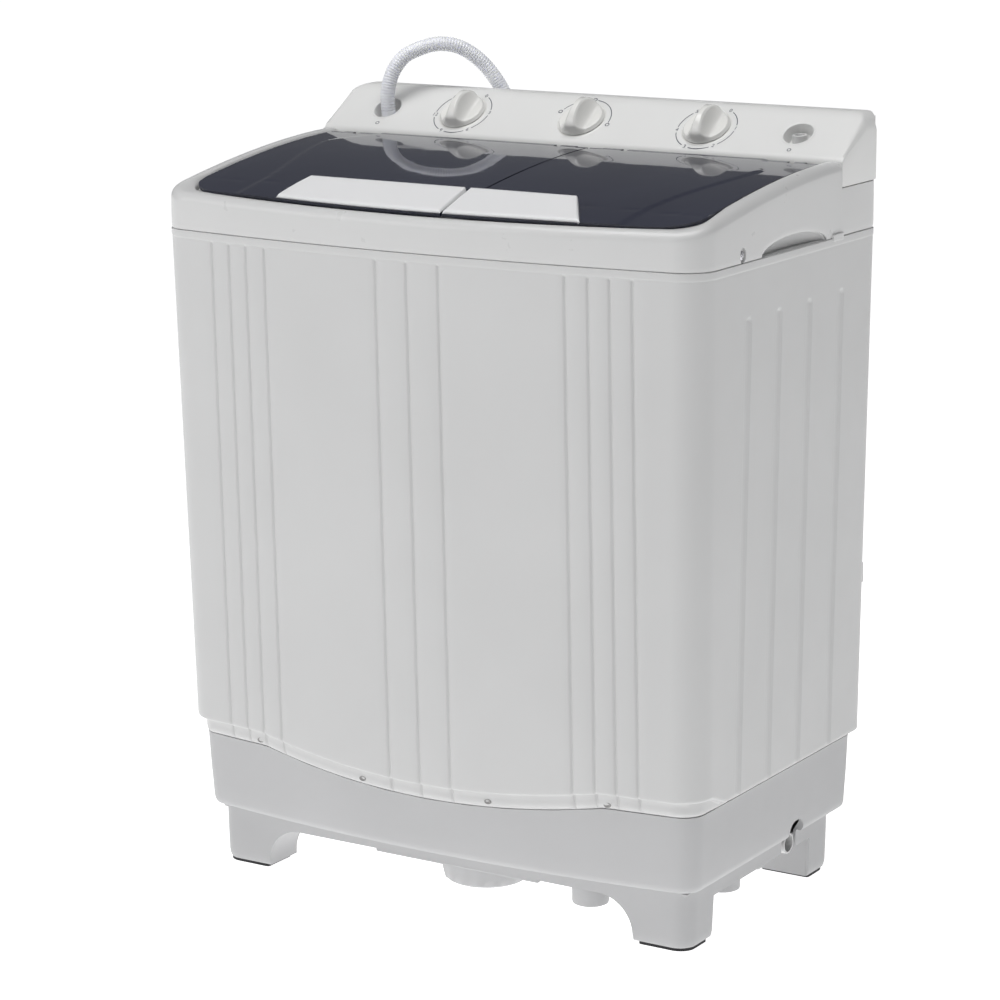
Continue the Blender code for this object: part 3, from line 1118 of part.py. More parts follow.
def make_brake():
    """A lever beside the drum, turning about an upright pin."""
    z_low, z_high = DRUM_Z + 0.003, DRUM_Z + DRUM_HEIGHT - 0.003
    lever = rod("brake_lever", (0, 0, 0), (0, 0, z_high - z_low), 0.0075, "steel", sides=18)
    lever.location = (BRAKE_X + 0.004, BRAKE_PIVOT_Y, z_low)
    arm = box("brake_arm", (BRAKE_X - 0.0005, BRAKE_PIVOT_Y, z_low + 0.001),
              (BRAKE_X + 0.0055, SPIN_Y + 0.055, z_high - 0.001))
    shoe = box("brake_shoe", (BRAKE_X - 0.0065, SPIN_Y - 0.010, z_low + 0.002),
               (BRAKE_X + 0.003, SPIN_Y + 0.010, z_high - 0.002))
    hole = rod("brake_hole", (BRAKE_X + 0.004, BRAKE_PIVOT_Y, z_low - 0.01),
               (BRAKE_X + 0.004, BRAKE_PIVOT_Y, z_high + 0.01), 0.0035, sides=14)
    join_to(lever, arm)
    join_to(lever, shoe)
    cut(lever, hole)
    rod("brake_pin", (BRAKE_X + 0.004, BRAKE_PIVOT_Y, z_low - 0.006),
        (BRAKE_X + 0.004, BRAKE_PIVOT_Y, z_high + 0.004), 0.0031, "steel", sides=14)


# ------------------------------------------------------------------ hose
HOSE_ROUTE = (
    (-0.2580, 0.1442, 0.7992), (-0.2582, 0.1423, 0.8105), (-0.2580, 0.1422, 0.8270),
    (-0.2540, 0.1465, 0.8472),
    (-0.2429, 0.1545, 0.8650), (-0.2250, 0.1660, 0.8770), (-0.2085, 0.1765, 0.8810),
    (-0.1912, 0.1885, 0.8765), (-0.1745, 0.2010, 0.8610), (-0.1610, 0.2110, 0.8420),
    (-0.1500, 0.2190, 0.8180), (-0.1430, 0.2245, 0.7850), (-0.1400, 0.2270, 0.7300),
    (-0.1400, 0.2280, 0.6000), (-0.1400, 0.2280, 0.4500), (-0.1400, 0.2280, 0.3000),
    (-0.1400, 0.2285, 0.1900), (-0.1380, 0.2300, 0.1200), (-0.1280, 0.2330, 0.0620),
    (-0.1020, 0.2360, 0.0250), (-0.0650, 0.2370, 0.0110), (-0.0200, 0.2370, 0.0092),
    (0.0300, 0.2370, 0.0110), (0.0650, 0.2370, 0.0142), (0.0900, 0.2370, 0.0146),
)
HOSE_POINTS = 48


def smooth_route(points, count):
    """Even points along a Catmull-Rom curve through the route."""
    route = [Vector(p) for p in points]
    route = [route[0] * 2 - route[1]] + route + [route[-1] * 2 - route[-2]]
    fine = []
    for a, b, c, d in zip(route, route[1:], route[2:], route[3:]):
        for i in range(24):
            t = i / 24
            fine.append(0.5 * (2 * b + (c - a) * t + (2 * a - 5 * b + 4 * c - d) * t ** 2
                               + (3 * b - a - 3 * c + d) * t ** 3))
    fine.append(Vector(points[-1]))
    lengths = [0.0]
    for near, far in zip(fine, fine[1:]):
        lengths.append(lengths[-1] + (far - near).length)
    even, k = [], 0
    for i in range(count):
        target = lengths[-1] * i / (count - 1)
        while k < len(lengths) - 2 and lengths[k + 1] < target:
            k += 1
        share = (target - lengths[k]) / (lengths[k + 1] - lengths[k])
        even.append(fine[k].lerp(fine[k + 1], share))
    return even


def make_hose():
    curve = bpy.data.curves.new("inlet_hose", "CURVE")
    curve.dimensions = "3D"
    curve.bevel_depth = HOSE_RADIUS
    curve.bevel_resolution = 2
    curve.use_fill_caps = True
    spline = curve.splines.new("POLY")
    route = smooth_route(HOSE_ROUTE, HOSE_POINTS)
    spline.points.add(len(route) - 1)
    for point, place in zip(spline.points, route):
        point.co = (*place, 1.0)
    hose = bpy.data.objects.new("inlet_hose", curve)
    parts.objects.link(hose)
    curve.materials.append(material("hose", *FINISHES["hose"]))
    start = Vector(HOSE_ROUTE[-1]) + Vector((0.0008, 0.0, 0.0))
    fitting = rod("hose_connector", start, start + Vector((0.034, 0.0, 0.0)), 0.0138, "white", sides=20)
    bore = rod("connector_bore", start + Vector((0.016, 0, 0)), start + Vector((0.050, 0, 0)), 0.0105,
               sides=18)
    cut(fitting, bore)


# ------------------------------------------------------------------ all of it
clear_scene()
make_base()
make_feet()
make_underside()
make_body()
make_deck()
make_lids()
make_console()
make_wash_tub()
make_wash_drive()
make_drain()
make_spin()
make_hose()
bpy.context.view_layer.update()
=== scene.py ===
import json
import math

import bmesh
import bpy
import numpy as np
from mathutils import Matrix, Vector


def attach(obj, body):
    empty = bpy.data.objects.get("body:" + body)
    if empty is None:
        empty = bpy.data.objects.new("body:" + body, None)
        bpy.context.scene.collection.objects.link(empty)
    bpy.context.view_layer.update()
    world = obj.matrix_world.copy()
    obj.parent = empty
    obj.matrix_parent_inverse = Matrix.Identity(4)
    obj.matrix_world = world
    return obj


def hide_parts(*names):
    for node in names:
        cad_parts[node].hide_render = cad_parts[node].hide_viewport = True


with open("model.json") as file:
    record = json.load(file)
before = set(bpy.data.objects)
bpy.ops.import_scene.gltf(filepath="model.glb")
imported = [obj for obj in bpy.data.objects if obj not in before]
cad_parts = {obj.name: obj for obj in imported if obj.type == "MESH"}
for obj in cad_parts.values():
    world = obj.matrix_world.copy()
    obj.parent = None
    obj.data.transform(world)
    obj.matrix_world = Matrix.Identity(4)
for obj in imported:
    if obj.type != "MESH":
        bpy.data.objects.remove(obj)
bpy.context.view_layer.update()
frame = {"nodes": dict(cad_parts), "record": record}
print("frame loaded:", len(frame["nodes"]), "nodes")

# the cabinet's own sizes, in metres; x is across, y is depth with the front at -y
cabinet = {
    "halfWidth": 0.325, "taper": 0.0138, "frontY": -0.1925, "lean": 0.0309, "bow": 0.0244,
    "rearY": 0.2015, "frontRadius": 0.035, "rearRadius": 0.020, "seamZ": 0.708,
    "consoleFrontY": 0.1105, "consoleSlope": math.radians(34.5), "consoleBendZ": 0.786, "deckRearZ": 0.7578,
}
frontHold, sideHold, rearHold = 0.256, -0.118, 0.168    # the outline's fixed stations lie inside these


# the curves that several pieces share
def ease(low, high, value):
    # smooth step: 0 below low, 1 above high, 3t2 - 2t3 between
    t = np.clip((value - low) / (high - low), 0.0, 1.0)
    return t * t * (3 - 2 * t)


def crest(y):
    # the rim and lids fall away towards the front as a power curve
    reach = np.maximum(0.1035 - y, 0.0) / 0.295
    return 0.785 - 0.0355 * reach ** 1.7


def facePoint(x, along, lift=0.0):
    # a point on the console's slope: along it from its foot, and lifted off it
    slope = cabinet["consoleSlope"]
    y = cabinet["consoleFrontY"] + along * math.cos(slope) - lift * math.sin(slope)
    z = cabinet["consoleBendZ"] + along * math.sin(slope) + lift * math.cos(slope)
    return Vector((x, y, z))


faceTurn = Matrix.Rotation(cabinet["consoleSlope"], 4, "X")


def meshObject(name, points, faces, uv=None):
    # an object whose mesh takes its points and quads straight from arrays
    mesh = bpy.data.meshes.new(name)
    points = np.asarray(points, np.float32).reshape(-1, 3)
    faces = np.asarray(faces, np.int32)
    mesh.vertices.add(len(points))
    mesh.vertices.foreach_set("co", points.ravel())
    mesh.loops.add(faces.size)
    mesh.loops.foreach_set("vertex_index", faces.ravel())
    mesh.polygons.add(len(faces))
    mesh.polygons.foreach_set("loop_start", np.arange(0, faces.size, faces.shape[1], dtype=np.int32))
    mesh.update(calc_edges=True)
    if uv is not None:
        layer = mesh.uv_layers.new(name="surface")
        layer.data.foreach_set("uv", np.asarray(uv, np.float32).reshape(-1, 2)[faces.ravel()].ravel())
    mesh.validate()
    item = bpy.data.objects.new(name, mesh)
    bpy.context.scene.collection.objects.link(item)
    return item


def gridFaces(rows, columns, closeRows=False, closeColumns=False):
    # quads between neighbouring rows and columns of a grid of points
    r = np.arange(rows if closeRows else rows - 1)[:, None]
    c = np.arange(columns if closeColumns else columns - 1)[None, :]
    r2, c2 = (r + 1) % rows, (c + 1) % columns
    quads = np.stack([r * columns + c, r * columns + c2, r2 * columns + c2, r2 * columns + c], -1)
    return quads.reshape(-1, 4)


def surface(name, grid, closeRows=False, closeColumns=False, uv=None):
    # a grid of points, rows by columns, as a mesh of quads
    grid = np.asarray(grid, float)
    rows, columns = grid.shape[:2]
    return meshObject(name, grid, gridFaces(rows, columns, closeRows, closeColumns), uv)


def tidy(item, merge=0.00002, sharp=35):
    # doubles merged, open ends left, faces out, smooth except at sharp edges
    bm = bmesh.new()
    bm.from_mesh(item.data)
    bmesh.ops.remove_doubles(bm, verts=bm.verts, dist=merge)
    bmesh.ops.dissolve_degenerate(bm, dist=merge / 2, edges=bm.edges)
    bmesh.ops.recalc_face_normals(bm, faces=bm.faces)
    bm.to_mesh(item.data)
    bm.free()
    item.data.shade_smooth()
    item.data.set_sharp_from_angle(angle=math.radians(sharp))
    return item


def turnedGrid(profile, steps):
    # a profile of (radius, height) carried round the z axis
    profile = np.asarray(profile, float)
    angle = np.linspace(0, 2 * math.pi, steps, endpoint=False)
    x = profile[:, 0, None] * np.cos(angle)
    y = profile[:, 0, None] * np.sin(angle)
    z = np.repeat(profile[:, 1, None], steps, 1)
    return np.stack([x, y, z], -1)


def turned(name, profile, steps=64, spot=None, closed=False, uv=None):
    # the same section at every angle round z: x and y are radius times cosine and sine
    grid = turnedGrid(profile, steps)
    item = surface(name, grid, closeRows=closed, closeColumns=True, uv=uv)
    if spot is not None:
        item.data.transform(spot)
    return tidy(item)


def roundedProfile(points, radii, steps=6):
    # straight runs, and at each corner a quadratic curve that starts its radius before the corner
    points = [np.array(p, float) for p in points]
    made = [points[0]]
    for before, corner, after, radius in zip(points, points[1:], points[2:], radii):
        back, on = before - corner, after - corner
        reach = min(radius, np.linalg.norm(back) * 0.49, np.linalg.norm(on) * 0.49)
        start = corner + back / np.linalg.norm(back) * reach
        end = corner + on / np.linalg.norm(on) * reach
        t = np.linspace(0, 1, steps + 1)[:, None]
        made += list((1 - t) ** 2 * start + 2 * t * (1 - t) * corner + t ** 2 * end)
    made.append(points[-1])
    return np.array(made)


def cutWith(item, cutter):
    # a Boolean difference, applied, and the cutter thrown away
    modifier = item.modifiers.new("cut", "BOOLEAN")
    modifier.operation, modifier.solver, modifier.object = "DIFFERENCE", "EXACT", cutter
    bpy.context.view_layer.update()
    graph = bpy.context.evaluated_depsgraph_get()
    mesh = bpy.data.meshes.new_from_object(item.evaluated_get(graph))
    item.modifiers.clear()
    item.data = mesh
    bpy.data.objects.remove(cutter)
    item.data.set_sharp_from_angle(angle=math.radians(35))
    return item


def rodMesh(name, radius, low, high, spot, steps=48):
    # a plain cylinder: one radius between two heights, closed by a point at each end
    rings = [(0.0, low), (radius, low), (radius, high), (0.0, high)]
    return turned(name, rings, steps, spot)


def place(item, material, body="cabinet", replaces=()):
    # one finish, the body it moves with, and the nodes it stands for
    item.data.materials.clear()
    item.data.materials.append(material)
    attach(item, body)
    if replaces:
        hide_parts(*replaces)
    return item


def nodesOf(name):
    # a new material with its tree, its shader and the object coordinates
    material = bpy.data.materials.new(name)
    material.use_nodes = True
    tree = material.node_tree
    shader = tree.nodes["Principled BSDF"]
    where = tree.nodes.new("ShaderNodeTexCoord")
    return material, tree, shader, where.outputs["Object"]


def noise(tree, vector, scale, detail=3.0, roughness=0.55):
    # soft fractal noise from 0 to 1
    made = tree.nodes.new("ShaderNodeTexNoise")
    made.inputs["Scale"].default_value = scale
    made.inputs["Detail"].default_value = detail
    made.inputs["Roughness"].default_value = roughness
    tree.links.new(vector, made.inputs["Vector"])
    return made.outputs["Fac"]


def ramp(tree, factor, stops):
    # colours blended between stops along a factor
    made = tree.nodes.new("ShaderNodeValToRGB")
    elements = made.color_ramp.elements
    while len(elements) < len(stops):
        elements.new(0.5)
    for element, (position, colour) in zip(elements, stops):
        element.position = position
        element.color = (*colour, 1.0)
    tree.links.new(factor, made.inputs["Fac"])
    return made.outputs["Color"]


def bump(tree, shader, height, strength, distance, after=None):
    # a height turned into a tilt of the normal, on top of an earlier one if given
    made = tree.nodes.new("ShaderNodeBump")
    made.inputs["Strength"].default_value = strength
    made.inputs["Distance"].default_value = distance
    tree.links.new(height, made.inputs["Height"])
    if after is not None:
        tree.links.new(after, made.inputs["Normal"])
    tree.links.new(made.outputs["Normal"], shader.inputs["Normal"])
    return made.outputs["Normal"]


def mouldedPlastic(name, colour, roughness, grain=1400.0, grainDepth=0.12, coat=0.0, wave=0.05):
    # injection-moulded plastic: a fine spark-eroded grain over a faint long waviness, a little colour drift
    tint = 0.012
    material, tree, shader, where = nodesOf(name)
    drift = noise(tree, where, 5.0, 2.0)
    light = tuple(min(c + tint, 1.0) for c in colour)
    dark = tuple(c - tint for c in colour)
    tree.links.new(ramp(tree, drift, [(0.3, dark), (0.7, light)]), shader.inputs["Base Color"])
    gloss = noise(tree, where, 40.0, 4.0)
    spread = ramp(tree, gloss, [(0.25, (roughness - 0.04,) * 3), (0.75, (roughness + 0.05,) * 3)])
    tree.links.new(spread, shader.inputs["Roughness"])
    long = bump(tree, shader, noise(tree, where, 9.0, 1.0), wave, 0.002)
    bump(tree, shader, noise(tree, where, grain, 2.0), grainDepth, 0.0002, long)
    shader.inputs["Coat Weight"].default_value = coat
    shader.inputs["Coat Roughness"].default_value = 0.12
    shader.inputs["IOR"].default_value = 1.49
    return material


def smokedClear(name):
    # smoky clear styrene: dark blue-grey, polished, with a faint swirl from the gate of the mould
    material, tree, shader, where = nodesOf(name)
    swirl = noise(tree, where, 6.0, 3.0)
    tree.links.new(ramp(tree, swirl, [(0.3, (0.014, 0.016, 0.036)), (0.75, (0.022, 0.025, 0.050))]),
                   shader.inputs["Base Color"])
    shader.inputs["Roughness"].default_value = 0.045
    shader.inputs["IOR"].default_value = 1.58
    shader.inputs["Alpha"].default_value = 0.90
    shader.inputs["Coat Weight"].default_value = 0.35
    shader.inputs["Coat Roughness"].default_value = 0.03
    bump(tree, shader, noise(tree, where, 14.0, 2.0, 0.4), 0.10, 0.004)
    return material


def milkyHose(name):
    # milky soft plastic that lets a little light through, darker in the bottom of each rib
    material, tree, shader, where = nodesOf(name)
    mottle = noise(tree, where, 60.0, 3.0)
    tree.links.new(ramp(tree, mottle, [(0.3, (0.74, 0.75, 0.79)), (0.7, (0.86, 0.87, 0.90))]),
                   shader.inputs["Base Color"])
    shader.inputs["Roughness"].default_value = 0.34
    shader.inputs["Subsurface Weight"].default_value = 0.25
    shader.inputs["Subsurface Radius"].default_value = (0.010, 0.010, 0.012)
    shader.inputs["Subsurface Scale"].default_value = 0.4
    bump(tree, shader, noise(tree, where, 500.0, 2.0), 0.08, 0.0003)
    return material


def metal(name, colour, roughness, scale=(4.0, 4.0, 300.0), depth=0.10):
    # plated or painted metal with fine drawn lines along one direction and small blotches
    material, tree, shader, where = nodesOf(name)
    stretch = tree.nodes.new("ShaderNodeMapping")
    stretch.inputs["Scale"].default_value = scale
    tree.links.new(where, stretch.inputs["Vector"])
    lines = noise(tree, stretch.outputs["Vector"], 6.0, 4.0)
    low = tuple(c * 0.82 for c in colour)
    tree.links.new(ramp(tree, lines, [(0.3, low), (0.7, colour)]), shader.inputs["Base Color"])
    shader.inputs["Metallic"].default_value = 1.0
    blotch = noise(tree, where, 90.0, 4.0)
    tree.links.new(ramp(tree, blotch, [(0.3, (roughness - 0.08,) * 3), (0.7, (roughness + 0.10,) * 3)]),
                   shader.inputs["Roughness"])
    bump(tree, shader, lines, depth, 0.0003)
    return material


def darkRubber(name, colour=(0.022, 0.022, 0.024)):
    # matt rubber with pale dust specks and a fine rough grain
    material, tree, shader, where = nodesOf(name)
    dust = noise(tree, where, 220.0, 5.0)
    pale = tuple(c + 0.03 for c in colour)
    tree.links.new(ramp(tree, dust, [(0.45, colour), (0.8, pale)]), shader.inputs["Base Color"])
    shader.inputs["Roughness"].default_value = 0.78
    bump(tree, shader, noise(tree, where, 900.0, 2.0), 0.25, 0.0003)
    return material


def drilledPlastic(name, colour, around, up):
    # basket wall with rows of drain holes: dark dots of painted shade for the dark seen through each hole,
    # staggered, on the surface's own two parameters
    material, tree, shader, _ = nodesOf(name)
    uv = tree.nodes.new("ShaderNodeUVMap")
    uv.uv_map = "surface"
    scaled = tree.nodes.new("ShaderNodeMapping")
    scaled.inputs["Scale"].default_value = (around, up, 0.0)
    tree.links.new(uv.outputs["UV"], scaled.inputs["Vector"])
    cell = tree.nodes.new("ShaderNodeTexVoronoi")
    cell.inputs["Scale"].default_value = 1.0
    cell.inputs["Randomness"].default_value = 0.0
    tree.links.new(scaled.outputs["Vector"], cell.inputs["Vector"])
    # painted shade: near-black in the middle of each cell, where the dark inside of the hole would show
    dots = ramp(tree, cell.outputs["Distance"], [(0.20, (0.02, 0.02, 0.02)), (0.26, colour)])
    tree.links.new(dots, shader.inputs["Base Color"])
    shader.inputs["Roughness"].default_value = 0.32
    sink = ramp(tree, cell.outputs["Distance"], [(0.18, (0, 0, 0)), (0.32, (1, 1, 1))])
    bump(tree, shader, sink, 0.6, 0.002)
    return material


def inkPrint(name):
    # dark blue ink, a little uneven
    material, tree, shader, where = nodesOf(name)
    fade = noise(tree, where, 900.0, 3.0)
    tree.links.new(ramp(tree, fade, [(0.3, (0.026, 0.030, 0.058)), (0.8, (0.048, 0.052, 0.082))]),
                   shader.inputs["Base Color"])
    shader.inputs["Roughness"].default_value = 0.55
    return material


shell = mouldedPlastic("shellWhite", (0.565, 0.565, 0.563), 0.36)
deckWhite = mouldedPlastic("deckWhite", (0.600, 0.600, 0.597), 0.30, coat=0.12)
baseWhite = mouldedPlastic("baseWhite", (0.475, 0.475, 0.48), 0.44, grain=1000.0, grainDepth=0.18)
consoleWhite = mouldedPlastic("consoleWhite", (0.72, 0.72, 0.71), 0.38, grain=1600.0)
knobIvory = mouldedPlastic("knobIvory", (0.78, 0.775, 0.75), 0.20, grainDepth=0.03, coat=0.5, wave=0.02)
stripWhite = mouldedPlastic("stripWhite", (0.75, 0.75, 0.755), 0.34, grainDepth=0.06)
tubBlueWhite = mouldedPlastic("tubWhite", (0.70, 0.75, 0.80), 0.30, grainDepth=0.05, coat=0.2)
timerCase = mouldedPlastic("timerCase", (0.50, 0.45, 0.34), 0.5, grain=600.0, grainDepth=0.2)
smoke = smokedClear("smokedLid")
hoseMilk = milkyHose("hoseMilk")
plated = metal("platedSteel", (0.62, 0.62, 0.64), 0.30)
castGrey = metal("motorGrey", (0.22, 0.23, 0.25), 0.48, scale=(60.0, 60.0, 8.0))
rubber = darkRubber("blackRubber")
ink = inkPrint("dialInk")
cavity = darkRubber("shadowGrey", (0.30, 0.295, 0.29))
print("materials made")

# where the camera stands, in metres and degrees, and how strong each light is
view = {
    "place": (1.83667, -2.99588, 1.20622), "azimuth": 31.8349, "elevation": 11.9644, "roll": -0.2197,
    "lens": 120.57, "shift": -0.0451,
}

studio = {"floorGlow": 0.93, "room": 0.15, "key": 34.0, "top": 46.0, "fill": 0.4}


def makeCamera():
    # the camera's axes from its azimuth, elevation and roll
    a, e, r = (math.radians(view[key]) for key in ("azimuth", "elevation", "roll"))
    back = Vector((math.sin(a) * math.cos(e), -math.cos(a) * math.cos(e), math.sin(e)))
    right = Vector((math.cos(a), math.sin(a), 0.0))
    up = back.cross(right)
    side = right * math.cos(r) + up * math.sin(r)
    top = up * math.cos(r) - right * math.sin(r)
    data = bpy.data.cameras.new("camera")
    data.lens, data.sensor_width, data.shift_y = view["lens"], 36.0, view["shift"]
    data.clip_start, data.clip_end = 0.05, 60.0
    camera = bpy.data.objects.new("camera", data)
    turn = Matrix((side, top, back)).transposed().to_4x4()
    camera.matrix_world = Matrix.Translation(view["place"]) @ turn
    bpy.context.scene.collection.objects.link(camera)
    bpy.context.scene.camera = camera


def areaLight(name, position, aim, width, height, power):
    # a rectangular soft box turned so that it faces its aim
    data = bpy.data.lights.new(name, "AREA")
    data.shape, data.size, data.size_y, data.energy = "RECTANGLE", width, height, power
    light = bpy.data.objects.new(name, data)
    light.location = position
    light.rotation_euler = (Vector(aim) - Vector(position)).to_track_quat("-Z", "Y").to_euler()
    bpy.context.scene.collection.objects.link(light)


def makeStudio():
    # a wide lit floor, a dim room above it, and soft boxes to the left, above and to the right
    side = np.linspace(-40, 40, 3)
    x, y = np.meshgrid(side, side)
    floor = surface("studioFloor", np.stack([x, y, 0 * x], -1).transpose(1, 0, 2))
    material, tree, shader, where = nodesOf("paper")
    soft = noise(tree, where, 2.0, 2.0)
    tree.links.new(ramp(tree, soft, [(0.3, (0.80, 0.80, 0.80)), (0.7, (0.84, 0.84, 0.84))]),
                   shader.inputs["Base Color"])
    shader.inputs["Roughness"].default_value = 0.95
    shader.inputs["Specular IOR Level"].default_value = 0.1
    shader.inputs["Emission Color"].default_value = (1.0, 1.0, 1.0, 1.0)
    shader.inputs["Emission Strength"].default_value = studio["floorGlow"]
    floor.data.materials.append(material)
    world = bpy.data.worlds.new("studio")
    world.use_nodes = True
    world.node_tree.nodes["Background"].inputs["Color"].default_value = (0.94, 0.96, 1.0, 1.0)
    world.node_tree.nodes["Background"].inputs["Strength"].default_value = studio["room"]
    bpy.context.scene.world = world
    bpy.context.scene.view_settings.view_transform = "Standard"
    areaLight("keyLeft", (-2.5, -3.0, 2.2), (0.0, 0.0, 0.45), 2.4, 2.4, studio["key"])
    areaLight("topSoft", (0.1, -0.5, 2.9), (0.0, 0.0, 0.5), 2.4, 1.6, studio["top"])
    areaLight("fillRight", (3.0, -1.4, 1.3), (0.0, 0.0, 0.4), 1.6, 1.8, studio["fill"])


makeCamera()
makeStudio()
print("camera and studio made")

# the inlet hose, its route given point by point from the port to the tap connector
hose = {
    "route": [
        (-0.2580, 0.1442, 0.7992), (-0.2582, 0.1423, 0.8105), (-0.2580, 0.1422, 0.8270),
        (-0.2540, 0.1465, 0.8472), (-0.2429, 0.1545, 0.8650), (-0.2250, 0.1660, 0.8750),
        (-0.2085, 0.1765, 0.8785), (-0.1912, 0.1885, 0.8745), (-0.1745, 0.2010, 0.8610),
        (-0.1610, 0.2110, 0.8420), (-0.1500, 0.2190, 0.8180), (-0.1430, 0.2245, 0.7850),
        (-0.1400, 0.2270, 0.7300), (-0.1400, 0.2280, 0.6000), (-0.1400, 0.2280, 0.4500),
        (-0.1400, 0.2280, 0.3000), (-0.1400, 0.2285, 0.1900), (-0.1380, 0.2300, 0.1200),
        (-0.1280, 0.2330, 0.0620), (-0.1020, 0.2360, 0.0250), (-0.0650, 0.2370, 0.0110),
        (-0.0200, 0.2370, 0.0092), (0.0300, 0.2370, 0.0110), (0.0650, 0.2370, 0.0142),
        (0.0900, 0.2370, 0.0146),
    ],
    "radius": 0.0085, "ribDepth": 0.0007, "ribPitch": 0.0030, "plainEnd": 0.004, "sides": 20,
}


def smoothPath(points, spacing):
    # a Catmull-Rom curve through the points, then even steps along its length
    p = np.array(points, float)
    p = np.vstack([2 * p[0] - p[1], p, 2 * p[-1] - p[-2]])
    t = np.linspace(0, 1, 40, endpoint=False)[None, :, None]
    a, b, c, d = (p[i:len(p) - 3 + i][:, None, :] for i in range(4))
    fine = 0.5 * (2 * b + (c - a) * t + (2 * a - 5 * b + 4 * c - d) * t ** 2
                  + (3 * b - a - 3 * c + d) * t ** 3)
    fine = np.vstack([fine.reshape(-1, 3), points[-1]])
    length = np.concatenate([[0], np.cumsum(np.linalg.norm(np.diff(fine, axis=0), axis=1))])
    even = np.linspace(0, length[-1], int(round(length[-1] / spacing)) + 1)
    return np.stack([np.interp(even, length, fine[:, k]) for k in range(3)], -1), even


def tubeGrid(path, radius, sides, lead=(1.0, 0.0, 0.0)):
    # rings round a path, each turned as little as possible from the one before
    along = np.gradient(path, axis=0)
    along /= np.linalg.norm(along, axis=1)[:, None]
    normal = np.zeros_like(path)
    normal[0] = np.cross(along[0], np.cross(lead, along[0]))
    for i in range(1, len(path)):
        normal[i] = normal[i - 1] - along[i] * np.dot(normal[i - 1], along[i])
        normal[i] /= np.linalg.norm(normal[i])
    other = np.cross(along, normal)
    angle = np.linspace(0, 2 * math.pi, sides, endpoint=False)
    c, s = np.cos(angle)[None, :, None], np.sin(angle)[None, :, None]
    ring = normal[:, None, :] * c + other[:, None, :] * s
    return path[:, None, :] + ring * np.broadcast_to(radius, len(path))[:, None, None]


def makeHose():
    # a tube whose radius follows a cosine of the length along it, and stays plain at both ends
    path, along = smoothPath(hose["route"], hose["ribPitch"] / 5)
    whole = along[-1]
    rib = 0.5 - 0.5 * np.cos(2 * math.pi * along / hose["ribPitch"])
    plain = ease(0, 0.002, along - hose["plainEnd"]) * ease(0, 0.002, whole - hose["plainEnd"] - along)
    radius = hose["radius"] - hose["ribDepth"] * (1 - rib ** 0.6) * plain
    grid = tubeGrid(path, radius, hose["sides"])
    ends = [np.repeat(path[:1][None], hose["sides"], 1), np.repeat(path[-1:][None], hose["sides"], 1)]
    grid = np.concatenate([ends[0], grid, ends[1]], 0)
    tube = tidy(surface("inletHose", grid, closeColumns=True), sharp=60)
    place(tube, hoseMilk, replaces=("inlet_hose",))
    axis = Matrix.Translation((0.0908, 0.2370, 0.0146)) @ Matrix.Rotation(math.pi / 2, 4, "Y")
    collar = [(0.0088, 0.0), (0.0122, 0.0), (0.0132, 0.0012), (0.0132, 0.0050), (0.0112, 0.0062),
              (0.0112, 0.0085), (0.0137, 0.0100), (0.0138, 0.0330), (0.0132, 0.0340), (0.0106, 0.0340),
              (0.0104, 0.0325), (0.0104, 0.0165), (0.0, 0.0165), (0.0, 0.0)]
    steps = 96
    grid = turnedGrid(collar, steps)
    ridge = 1 - 0.035 * (np.cos(np.linspace(0, 2 * math.pi * 24, steps, endpoint=False)) > 0)
    grid[7:8, :, :2] *= ridge[None, :, None]
    grid[6:7, :, :2] *= ridge[None, :, None]
    nut = surface("tapConnector", grid, closeColumns=True)
    nut.data.transform(axis)
    place(tidy(nut), deckWhite, replaces=("hose_connector",))
    print("hose made, %.3f m long" % whole)


makeHose()


def planStations(frontExtra=(), sideExtra=()):
    # half the outline, front middle to rear middle, as (kind, place) pairs, then mirrored
    front = np.unique(np.round(np.concatenate([np.linspace(0, frontHold, 22), np.array(frontExtra)]), 5))
    side = np.unique(np.round(np.concatenate([np.linspace(sideHold, rearHold, 18), np.array(sideExtra)]), 5))
    runs = [(0, front), (1, np.linspace(0, 1, 4)[1:]), (2, np.linspace(-90, 0, 13)[1:]),
            (3, np.linspace(0, 1, 5)[1:-1]), (4, side), (5, np.linspace(0, 1, 3)[1:]),
            (6, np.linspace(0, 90, 9)[1:]), (7, np.linspace(1, 0, 8)[1:])]
    kind = np.concatenate([np.full(len(v), k) for k, v in runs])
    spot = np.concatenate([v for _, v in runs])
    sign = np.ones(len(kind))
    inner = slice(1, -1)
    return (np.concatenate([kind, kind[::-1][inner]]), np.concatenate([spot, spot[::-1][inner]]),
            np.concatenate([sign, -sign[inner]]))


